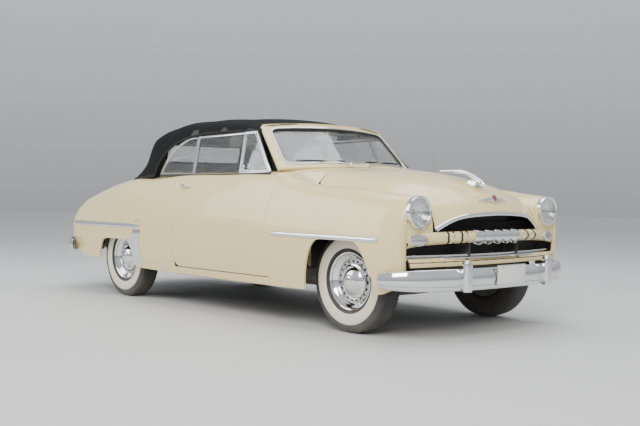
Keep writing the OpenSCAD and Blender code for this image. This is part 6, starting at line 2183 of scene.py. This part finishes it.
@dataclass
class EngineBay:
    """What shows when the hood is open."""

    def build(self) -> None:
        """Builds the air cleaner, covers, battery, radiator top and hoses."""
        parts = []
        top = world(np.array([1480.0, 0, 848]))
        cleaner = [(0, 0.105), (0.012, 0.104), (0.014, 0.096), (0.06, 0.094), (0.150, 0.088),
                   (0.162, 0.078), (0.163, 0.030), (0.150, 0.022), (0.05, 0.018), (0.045, -0.015),
                   (0, -0.015)]
        parts.append(lathe("air_cleaner", cleaner, top, (0, 0, 1), (BLACK_KNOB,), count=72))
        for side in (-1, 1):
            x = np.linspace(1190, 1790, 40)
            cover = np.stack([x, np.full(40, side * 118.0), np.full(40, 834.0)], 1)
            parts.append(sweep(f"cover{side}", world(cover), np.tile((0, 0, 1.0), (40, 1)),
                               [(-0.048, -0.004), (0.048, -0.004), (0.044, 0.020), (0.024, 0.032),
                                (-0.024, 0.032), (-0.044, 0.020)], BAKELITE_RED))
            wires = [curve([(1230 + 140 * k, side * 172, 780), (1260 + 120 * k, side * 150, 862 + 4 * k),
                            (1250, side * 40, 880)], 20) for k in range(4)]
            parts += [tube(f"lead{side}{k}", world(w), 0.0035, SEAL, sides=8) for k, w in enumerate(wires)]
        parts.append(lathe("distributor", [(0, 0.06), (0.03, 0.055), (0.042, 0.03), (0.042, -0.02),
                                           (0, -0.02)], world(np.array([1212.0, 20, 856])), (0, 0, 1),
                                           (BLACK_KNOB,), count=32))
        parts.append(block("battery", world([1120, -420, 640]), world([1380, -240, 830]), BLACK_KNOB, 0.008))
        parts += [lathe(f"post{k}", [(0, 0.018), (0.008, 0.018), (0.01, 0), (0, 0)],
                        world(np.array([1150.0 + 200 * k, -330, 830])), (0, 0, 1), (ZINC,),
                        count=16) for k in (0, 1)]
        parts.append(block("radiator_tank", world([1978, -310, 790]), world([2030, 310, 846]), CHASSIS,
                           0.018))
        parts.append(lathe("radiator_cap", [(0, 0.02), (0.028, 0.018), (0.032, 0.008), (0.032, -0.008),
                                            (0, -0.008)], world(np.array([2004.0, 0, 848])), (0, 0, 1),
                                            (ZINC,), count=32))
        hose = curve([(1990, 80, 810), (1930, 80, 835), (1870, 60, 835), (1830, 40, 800)], 30)
        parts.append(tube("upper_hose", world(hose), 0.022, SEAL, sides=20))
        hub = world(np.array([1868.0, 0, 620]))
        for k in range(4):
            a = math.pi / 4 + k * math.pi / 2
            d = np.array([0, math.cos(a), math.sin(a)])
            parts.append(sweep(f"fan{k}", np.stack([hub + d * 0.03, hub + d * 0.20]),
                               np.tile((1.0, 0.0, 0.0), (2, 1)),
                               [(-0.035, -0.010), (0.035, 0.008), (0.035, 0.011), (-0.035, -0.007)], ZINC))
        parts.append(lathe("fan_hub", [(0, 0.03), (0.04, 0.028), (0.045, -0.02), (0, -0.02)], hub,
                           (1, 0, 0), (ZINC,), count=32))
        place(join("engine_dressing", parts), "body")


# ---------------------------------------------------------------- cabin
@dataclass
class Cabin:
    """Seats, dashboard, controls, carpet and linings."""

    voxel: float = 0.012
    pleat: float = 0.062

    def build(self) -> None:
        """Builds the cabin."""
        self.seats()
        self.dashboard()
        self.steering()
        self.floor()
        self.small_pieces()
        self.door_cards()

    def cushion(self, name: str, lo: Sequence[float], hi: Sequence[float], lean: float, facing: int,
                cap: float) -> bpy.types.Object:
        """A padded seat piece with sewn pleats.

        Args:
            name: piece name.
            lo: lowest corner in station millimetres.
            hi: highest corner.
            lean: how far the top leans back, in metres.
            facing: axis that the sitter touches, 0 the front and 2 the top.
            cap: most that the stuffing may swell it.
        Returns:
            The piece.
        """
        a, b = world(np.array(lo, float)), world(np.array(hi, float))
        shrink = np.array([0.008, 0.008, 0.008])
        solid = block(name + "_core", a + shrink, b - shrink, LEATHER, 0.042, 5)
        remesh = solid.modifiers.new("even", "REMESH")
        remesh.mode, remesh.voxel_size = "VOXEL", self.voxel * 1.0
        bpy.context.view_layer.update()
        mesh = bpy.data.meshes.new_from_object(solid.evaluated_get(bpy.context.evaluated_depsgraph_get()))
        bpy.data.objects.remove(solid)
        obj = finish_mesh(name, mesh, LEATHER, 180)
        co = np.empty(len(mesh.vertices) * 3, np.float64)
        mesh.vertices.foreach_get("co", co)
        start = co.reshape(-1, 3).copy()
        self.swell(obj)
        obj.data.vertices.foreach_get("co", co)
        moved = co.reshape(-1, 3) - start
        far = np.linalg.norm(moved, axis=1, keepdims=True)
        start += moved * np.minimum(1, cap / np.maximum(far, 1e-9))
        p = np.minimum(np.maximum(start, a - 0.004), b + 0.004)
        obj.data.vertices.foreach_set("co", p.ravel())
        sub = obj.modifiers.new("fine", "SUBSURF")
        sub.levels = sub.render_levels = 1
        bpy.context.view_layer.update()
        fine = bpy.data.meshes.new_from_object(obj.evaluated_get(bpy.context.evaluated_depsgraph_get()))
        bpy.data.objects.remove(obj)
        obj = finish_mesh(name, fine, LEATHER, 180)
        k = len(fine.vertices)
        co = np.empty(k * 3)
        fine.vertices.foreach_get("co", co)
        p = co.reshape(-1, 3)
        nn = np.empty(k * 3)
        fine.vertices.foreach_get("normal", nn)
        n = nn.reshape(-1, 3)
        touch = np.clip((n[:, facing] - 0.35) / 0.4, 0, 1)
        other = 2 if facing == 0 else 0
        rim = np.minimum(p[:, other] - a[other], b[other] - p[:, other])
        side = np.minimum(p[:, 1] - a[1], b[1] - p[:, 1])
        inside = np.clip((rim - 0.055) / 0.015, 0, 1) * np.clip((side - 0.07) / 0.015, 0, 1)
        sewn = bell((p[:, 1] - (a[1] + b[1]) / 2 + 100 * self.pleat) % self.pleat, self.pleat / 2, 0.006)
        border = bell(np.minimum(rim, side - 0.015), 0.055, 0.006)
        p -= n * (touch * (0.008 * inside * sewn + 0.007 * border))[:, None]
        if lean:
            p[:, 0] -= lean * (p[:, 2] - a[2]) / (b[2] - a[2])
        fine.vertices.foreach_set("co", p.ravel())
        fine.update()
        return obj

    @staticmethod
    def swell(obj: bpy.types.Object) -> None:
        """Fills a cover by a short pressure simulation and applies it."""
        cloth = obj.modifiers.new("stuffing", "CLOTH")
        cloth.settings.use_pressure = True
        cloth.settings.uniform_pressure_force = 4.0
        cloth.settings.quality = 3
        cloth.settings.effector_weights.gravity = 0.0
        cloth.collision_settings.use_collision = False
        cloth.point_cache.frame_start, cloth.point_cache.frame_end = 1, 20
        for frame in range(1, 21):
            bpy.context.scene.frame_set(frame)
        result = bpy.data.meshes.new_from_object(obj.evaluated_get(bpy.context.evaluated_depsgraph_get()))
        co = np.empty(len(result.vertices) * 3)
        result.vertices.foreach_get("co", co)
        obj.modifiers.clear()
        bpy.context.scene.frame_set(1)
        obj.data.vertices.foreach_set("co", co)
        bpy.data.meshes.remove(result)

    def seats(self) -> None:
        """Front bench with divided back, and the rear bench."""
        place(self.cushion("front_seat_cushion", (-188, -638, 560), (378, 638, 700), 0.0, 2, 0.014), "body",
              "front_seat", slot="seat_trim")
        for name, y0, y1 in (("left", 6, 638), ("right", -638, -6)):
            back = self.cushion(f"front_seat_back_{name}", (-290, y0, 640), (-152, y1, 1058), 0.040, 0, 0.012)
            place(back, "body", slot="seat_trim")
        rear = self.cushion("rear_seat_cushion", (-998, -598, 620), (-542, 598, 740), 0.0, 2, 0.014)
        place(rear, "body", "rear_seat", slot="seat_trim")
        place(self.cushion("rear_seat_back", (-1112, -553, 700), (-996, 553, 1006), 0.050, 0, 0.012),
              "body", slot="seat_trim")
        base = [block(f"seat_base{s}", world([-150, min(s * 160, s * 600), 416]),
                      world([330, max(s * 160, s * 600), 566]), CARPET, 0.01) for s in (-1, 1)]
        base.append(block("rear_base", world([-925, -600, 521]), world([-560, 600, 626]), CARPET, 0.006))
        rails = [block(f"seat_rail{s}", world([-140, s * 560 - 12, 416]), world([320, s * 560 + 12, 430]),
                       ZINC, 0.003) for s in (-1, 1)]
        place(join("seat_bases", base + rails), "body")
        piping = []
        for s in (-1, 1):
            edge = filleted([(s * 20, 660), (s * 626, 660), (s * 626, 1044), (s * 20, 1044)], 40, 6)
            pts = np.array([(-292 - 40 * (z - 640) / 418, y, z) for y, z in edge])
            piping.append(tube(f"piping{s}", world(pts), 0.004, BINDING, True, 8))
        place(join("seat_back_piping", piping), "body", slot="seat_trim")

    def dashboard(self) -> None:
        """Instruments, speaker grille, knobs, glove box and the bright strip along its top edge."""
        parts = []
        def dial(y: float, z: float, r: float, name: str) -> None:
            """One round instrument with its rim, face, marks and needle."""
            f = unit(np.array([-0.995, 0, -0.10]))
            c = world(np.array([684.0, y, z]))
            parts.append(lathe(name + "rim", [(r - 0.005, 0.004), (r, 0.010), (r + 0.006, 0.007),
                                              (r + 0.007, -0.012), (r - 0.005, -0.012), (r - 0.005, 0.004)],
                                              c, f, (CHROME,), count=48))
            parts.append(lathe(name + "face", [(0, 0.0), (r - 0.004, 0.0), (r - 0.004, -0.012),
                                               (0, -0.012)], c, f, (DIAL,), count=48))
            parts.append(lathe(name + "glass", [(0, 0.006), (r * 0.5, 0.0055), (r - 0.004, 0.004),
                                                (r - 0.004, 0.003), (0, 0.005)], c, f, (LENS,), count=48))
            tip = np.array([0, math.sin(0.8), math.cos(0.8)]) * r * 0.7
            parts.append(tube(name + "needle", np.stack([c + f * 0.003, c + f * 0.003 + tip]), 0.001,
                              BAKELITE_RED, sides=6))
            a = np.linspace(-2.1, 2.1, 15)
            for q in a:
                d = np.array([0, math.sin(q), math.cos(q)])
                parts.append(tube(f"{name}mark{q:.2f}",
                                  np.stack([c + f * 0.0015 + d * r * 0.76, c + f * 0.0015 + d * r * 0.88]),
                                  0.0008, IVORY, sides=4))
        dial(370, 980, 0.062, "speed")
        dial(250, 975, 0.034, "fuel")
        dial(490, 975, 0.034, "temp")
        knob = [(0, 0.028), (0.008, 0.027), (0.011, 0.018), (0.007, 0.010), (0.006, -0.004), (0, -0.004)]
        for y in (-60, 60, 180, 560):
            parts.append(lathe(f"knob{y}", knob, world(np.array([687.0, y, 920])), (-1, 0, -0.1), (IVORY,),
                               count=24))
        parts.append(block("radio_face", world([676, -105, 950]), world([690, 105, 1010]), CHROME, 0.004))
        for y in (-82, 82):
            parts.append(lathe(f"radio{y}", knob, world(np.array([677.0, y, 980])), (-1, 0, 0), (IVORY,),
                               count=24))
        parts.append(block("glove_lid", world([679, -560, 905]), world([688, -190, 1010]), ENAMEL, 0.006))
        parts.append(lathe("glove_lock", [(0, 0.01), (0.012, 0.009), (0.014, 0), (0, 0)],
                           world(np.array([679.0, -375, 990])), (-1, 0, 0), (CHROME,), count=24))
        strip = np.array([(680.0, y, 1024.0) for y in np.linspace(-635, 635, 30)])
        parts.append(sweep("dash_strip", world(strip), np.tile((-1.0, 0, 0), (30, 1)),
                           [(-0.006, -0.002), (0.006, -0.002), (0.004, 0.005), (-0.004, 0.005)], CHROME))
        slats = [(world(np.array([(684.0, y, z) for y in np.linspace(-92, 92, 8)])),
                  np.tile((-1.0, 0, 0), (8, 1))) for z in np.arange(905, 943, 7.0)]
        place(join("instrument_panel", parts), "body", slot="body_paint")
        place(row("speaker_slots", slats, Bit.BAR, (0.0225, 0.003, 0.004), 0.0245, CHROME), "body")

    def steering(self) -> None:
        """Steering wheel with horn ring, on its own joint."""
        centre = world(np.array([520.0, 370, 968]))
        axis = unit(np.array([-math.sin(math.radians(62)), 0, math.cos(math.radians(62))]))
        side, up = np.array([0.0, 1.0, 0.0]), np.cross(axis, [0.0, 1.0, 0.0])
        a = np.linspace(0, 2 * math.pi, 96, endpoint=False)
        ring = centre + 0.220 * (np.cos(a)[:, None] * side + np.sin(a)[:, None] * up)
        wave = 1.0 + 0.06 * np.cos(a * 30)
        parts = [sweep("rim", ring, np.tile(axis, (96, 1)),
                       [(0.0108 * math.cos(b), 0.0108 * math.sin(b)) for b in np.linspace(0, 2 * math.pi,
                               14, endpoint=False)], IVORY, True, wave, 60)]
        horn = centre + axis * 0.016 + 0.120 * (np.cos(a)[:, None] * side + np.sin(a)[:, None] * up)
        parts.append(sweep("horn_ring", horn, np.tile(axis, (96, 1)),
                           [(0.004 * math.cos(b), 0.004 * math.sin(b)) for b in np.linspace(0, 2 * math.pi,
                                   10, endpoint=False)], CHROME, True, sharp=60))
        for k in range(3):
            t = math.radians(120 * k)
            d = math.cos(t) * up * -1 + math.sin(t) * side
            s = np.linspace(0.02, 0.212, 12)
            parts.append(sweep(f"spoke{k}", centre + s[:, None] * d, np.tile(axis, (12, 1)),
                               [(-0.011, -0.005), (0.011, -0.005), (0.008, 0.006), (-0.008, 0.006)], IVORY,
                               grow=np.linspace(1.3, 0.8, 12)))
        parts.append(lathe("hub", [(0, 0.034), (0.018, 0.032), (0.032, 0.022), (0.036, 0.008),
                                   (0.034, -0.02), (0, -0.02)], centre, axis, (IVORY,), count=48))
        parts.append(lathe("horn_button", [(0, 0.040), (0.010, 0.0395), (0.020, 0.036), (0.023, 0.030),
                                           (0, 0.030)], centre, axis, (CHROME,), count=48))
        place(join("steering_wheel_finished", parts), "steering_wheel", "steering_wheel",
              slot="black_plastic")
        base = world(np.array([560.0, 370, 948]))
        lever = np.stack([base, base + np.array([-0.02, -0.09, 0.03]),
                          base + np.array([-0.03, -0.17, 0.055])])
        knob = lathe("lever_knob", [(0, 0.012), (0.009, 0.008), (0.012, 0), (0.008, -0.010), (0, -0.010)],
                     lever[-1], (0, -1, 0.3), (IVORY,), count=24)
        jacket = lathe("column_collar", [(0.0215, 0.0), (0.031, 0.004), (0.031, 0.05), (0.024, 0.075),
                                         (0.0215, 0.075), (0.0215, 0.0)],
                                         world(np.array([542.0, 370, 955.6])), -axis, (IVORY,), count=40)
        place(join("column_shift", [tube("lever", lever, 0.0045, CHROME), knob, jacket]), "body")

    def floor(self) -> None:
        """Carpets, trunk mat and pedals."""
        parts = [block(f"{name}_carpet{s}", world([x0, min(s * 152, s * 690), 415.5]),
                       world([x1, max(s * 152, s * 690), 424]), CARPET, 0.004)
                 for name, x0, x1 in (("front", 330, 1058), ("rear", -545, -155)) for s in (-1, 1)]
        tunnel = curve([(-540, 0, 521), (300, 0, 521), (760, 0, 641), (1058, 0, 700)], 30)
        parts.append(sweep("tunnel_carpet", world(tunnel), np.tile((0, 0, 1.0), (30, 1)),
                           [(-0.152, -0.10), (0.152, -0.10), (0.151, 0.0), (0.142, 0.006), (-0.142, 0.006),
                            (-0.151, 0.0)], CARPET))
        parts.append(block("toe_carpet", world([1050, -690, 424]), world([1060, 690, 846]), CARPET, 0.004))
        parts.append(block("trunk_mat", world([-2285, -498, 482.5]), world([-1655, 498, 488]), CARPET, 0.003))
        place(join("carpets", parts), "body", slot="seat_trim")
        pedals = []
        for k, (y, w) in enumerate(((520, 36), (430, 36), (310, 26))):
            pad = block(f"pedal{k}", world([905, y - w, 560]), world([918, y + w, 640 if k < 2 else 690]),
                        SEAL, 0.005)
            arm = tube(f"pedal_arm{k}", world(curve([(915, y, 600), (960, y, 640), (1040, y, 720)], 12)),
                       0.007, CHASSIS)
            pedals += [pad, arm]
        place(join("pedals", pedals), "body")

    def small_pieces(self) -> None:
        """Inside mirror and sun visors."""
        stem = tube("stem", world(curve([(478, 0, 1462), (470, 0, 1430), (462, 0, 1398)], 10)), 0.005, CHROME)
        shell = block("shell", world([448, -115, 1362]), world([466, 115, 1412]), CHROME, 0.008)
        mirror_face = block("glass", world([446, -108, 1367]), world([449, 108, 1407]), REFLECTOR, 0.001)
        place(join("inside_mirror", [stem, shell, mirror_face]), "body")
        visors = []
        for s in (-1, 1):
            path = np.array([(400.0, y, 1452.0) for y in np.linspace(s * 110, s * 520, 12)])
            visors.append(sweep(f"visor{s}", world(path), np.tile((0.25, 0, 1.0), (12, 1)),
                                [(-0.062, -0.006), (0.058, -0.006), (0.062, 0.0), (0.058, 0.006),
                                 (-0.062, 0.006), (-0.066, 0)], LINING))
        place(join("sun_visors", visors), "body")

    def door_cards(self) -> None:
        """Trim panels, arm rests, winders and pulls of both doors."""
        for side in ("left", "right"):
            z0, z1 = 372.0, 885.0
            x, z = np.meshgrid(np.linspace(-352, 782, 90), np.linspace(z0, z1, 40), indexing="ij")
            edge = np.minimum(np.minimum(x + 352, 782 - x), np.minimum(z - z0, z1 - z))
            puff = 5 * np.clip(edge / 22, 0, 1) ** 0.5 - 3.5 * bell((x + 352) % 63, 31.5,
                    5) * (z < 760) * (z > 430)
            p = np.stack([x, 804.5 - puff, z], -1)
            n = grid_facing(p).reshape(p.shape)
            if n[45, 20, 1] > 0:
                p, n = p[::-1], None
                n = grid_facing(p).reshape(p.shape)
            card = skin("card", p, n, 2.0, (LEATHER,))
            strip = np.array([(q, 798.0, 770.0) for q in np.linspace(-345, 775, 20)])
            bar = sweep("bar", world(strip), np.tile((0, -1.0, 0), (20, 1)),
                        [(-0.006, -0.002), (0.006, -0.002), (0.004, 0.004), (-0.004, 0.004)], CHROME)
            rest = np.array([(q, 772.0, 690.0) for q in np.linspace(-120, 200, 24)])
            arm = sweep("arm_rest", world(rest), np.tile((0, 0, 1.0), (24, 1)),
                        [(-0.030, -0.03), (0.030, -0.03), (0.034, 0.0), (0.024, 0.018), (-0.024, 0.018),
                         (-0.034, 0)], LEATHER,
                        grow=np.clip(np.sin(np.linspace(0.12, math.pi - 0.12, 24)) * 2.2, 0.3, 1), sharp=50)
            hub = world(np.array([430.0, 796, 640]))
            crank = tube("crank", np.stack([hub + np.array([0, -0.018, 0]),
                                            hub + np.array([0.04, -0.022, -0.05]),
                                            hub + np.array([0.075, -0.024, -0.085])]), 0.006, CHROME)
            boss = lathe("boss", [(0, 0.03), (0.014, 0.028), (0.022, 0.012), (0.026, 0), (0, 0)], hub,
                         (0, -1, 0), (CHROME,), count=32)
            knob = lathe("crank_knob", [(0, 0.032), (0.010, 0.030), (0.012, 0.02), (0.008, 0.0), (0, 0)],
                         hub + np.array([0.075, -0.024, -0.085]), (0, -1, 0), (IVORY,), count=24)
            pull = tube("pull", np.stack([world(np.array([x_, 786.0, 830.0])) for x_ in (560, 620, 690)]),
                        0.007, CHROME)
            left = join("door_card_left", [card, bar, arm, crank, boss, knob, pull])
            if side == "left":
                place(left, "door_left", slot="seat_trim")
            else:
                right = mirrored(left, "door_card_right")
                bpy.data.objects.remove(left)
                place(right, "door_right", slot="seat_trim")


# ---------------------------------------------------------------- studio
@dataclass
class Studio:
    """Pale floor, soft lights and the camera."""

    floor_size: float = 60.0
    eye: tuple[float, float, float] = (6.291, -5.1835, 0.9567)
    yaw: float = 0.844043
    pitch: float = 0.022947
    roll: float = 0.009973
    lens: float = 53.48

    def build(self) -> None:
        """Builds the floor, the lights, the sky and the camera."""
        self.floor()
        self.lights()
        self.camera()

    def floor(self) -> None:
        """A plain pale floor."""
        half = self.floor_size / 2
        verts = [(-half, -half, 0), (half, -half, 0), (half, half, 0), (-half, half, 0)]
        finish = Finish("studio_floor", (0.62, 0.62, 0.61), 0.7, second=(0.59, 0.59, 0.58), grain=3,
                        bump=0.02)
        floor = mesh_object("studio_floor", np.array(verts, float), [[0, 1, 2, 3]], (finish,))

    def lights(self) -> None:
        """A pale sky and three large soft lamps."""
        sky = bpy.data.worlds.new("studio_sky")
        sky.use_nodes = True
        g = Graph(sky.node_tree)
        sky.node_tree.nodes.clear()
        where = g.add("ShaderNodeTexCoord").outputs["Generated"]
        split = g.add("ShaderNodeSeparateXYZ")
        g.join(where, split, 0)
        ramp = g.add("ShaderNodeValToRGB")
        ramp.color_ramp.elements[0].position = 0.42
        ramp.color_ramp.elements[0].color = (0.30, 0.31, 0.32, 1)
        ramp.color_ramp.elements[1].position = 0.60
        ramp.color_ramp.elements[1].color = (0.86, 0.90, 0.95, 1)
        g.join(g.math("ADD", g.math("MULTIPLY", split.outputs[2], 0.5), 0.5), ramp, "Fac")
        back = g.add("ShaderNodeBackground", {"Strength": 0.75})
        g.join(ramp.outputs["Color"], back, "Color")
        out = g.add("ShaderNodeOutputWorld")
        g.join(back.outputs[0], out, "Surface")
        bpy.context.scene.world = sky
        for name, at, aim, size, power in (("key", (7.0, -6.5, 6.5), (0, 0, 0.5), 5.0, 900),
                                           ("fill", (-5.0, -7.0, 5.0), (0, 0, 0.6), 6.0, 420),
                                           ("top", (0.0, 1.5, 8.0), (0, 0, 0), 7.0, 500)):
            lamp = bpy.data.lights.new(name, "AREA")
            lamp.shape, lamp.size, lamp.energy = "SQUARE", size, power
            lamp.color = (1.0, 0.97, 0.93) if name == "key" else (0.95, 0.98, 1.0)
            obj = bpy.data.objects.new(name, lamp)
            bpy.context.scene.collection.objects.link(obj)
            obj.location = at
            obj.rotation_euler = (Vector(aim) - Vector(at)).to_track_quat("-Z", "Y").to_euler()

    def camera(self) -> None:
        """A camera at the chosen standpoint."""
        back = np.array([math.sin(self.yaw) * math.cos(self.pitch),
                         -math.cos(self.yaw) * math.cos(self.pitch), math.sin(self.pitch)])
        right = unit(np.cross((0, 0, 1.0), back))
        up = np.cross(back, right)
        c, s = math.cos(self.roll), math.sin(self.roll)
        axes = np.stack([c * right + s * up, -s * right + c * up, back], 1)
        data = bpy.data.cameras.new("camera")
        data.lens, data.sensor_width = self.lens, 36.0
        data.clip_start, data.clip_end = 0.1, 200
        obj = bpy.data.objects.new("camera", data)
        bpy.context.scene.collection.objects.link(obj)
        matrix = Matrix([[*axes[0], self.eye[0]], [*axes[1], self.eye[1]], [*axes[2], self.eye[2]],
                         [0, 0, 0, 1]])
        obj.matrix_world = matrix
        bpy.context.scene.camera = obj


def main() -> None:
    """Builds the car in order, then the studio."""
    logging.basicConfig(level=logging.INFO, format="%(message)s")
    for obj in list(bpy.data.objects):
        bpy.data.objects.remove(obj)
    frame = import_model()
    build_groups()
    BodyShell().build()
    Glazing().build()
    SoftTop().build()
    BrightTrim().build()
    Bumpers().build()
    Grille().build()
    Lamps().build()
    for name, x, y in (("wheel_front_left", XF, YF), ("wheel_front_right", XF, -YF),
                       ("wheel_rear_left", XR, YR), ("wheel_rear_right", XR, -YR)):
        Wheel(name, x, y).build()
    RunningGear().build(frame["nodes"])
    EngineBay().build()
    Cabin().build()
    Studio().build()


if __name__ == "__main__":
    main()
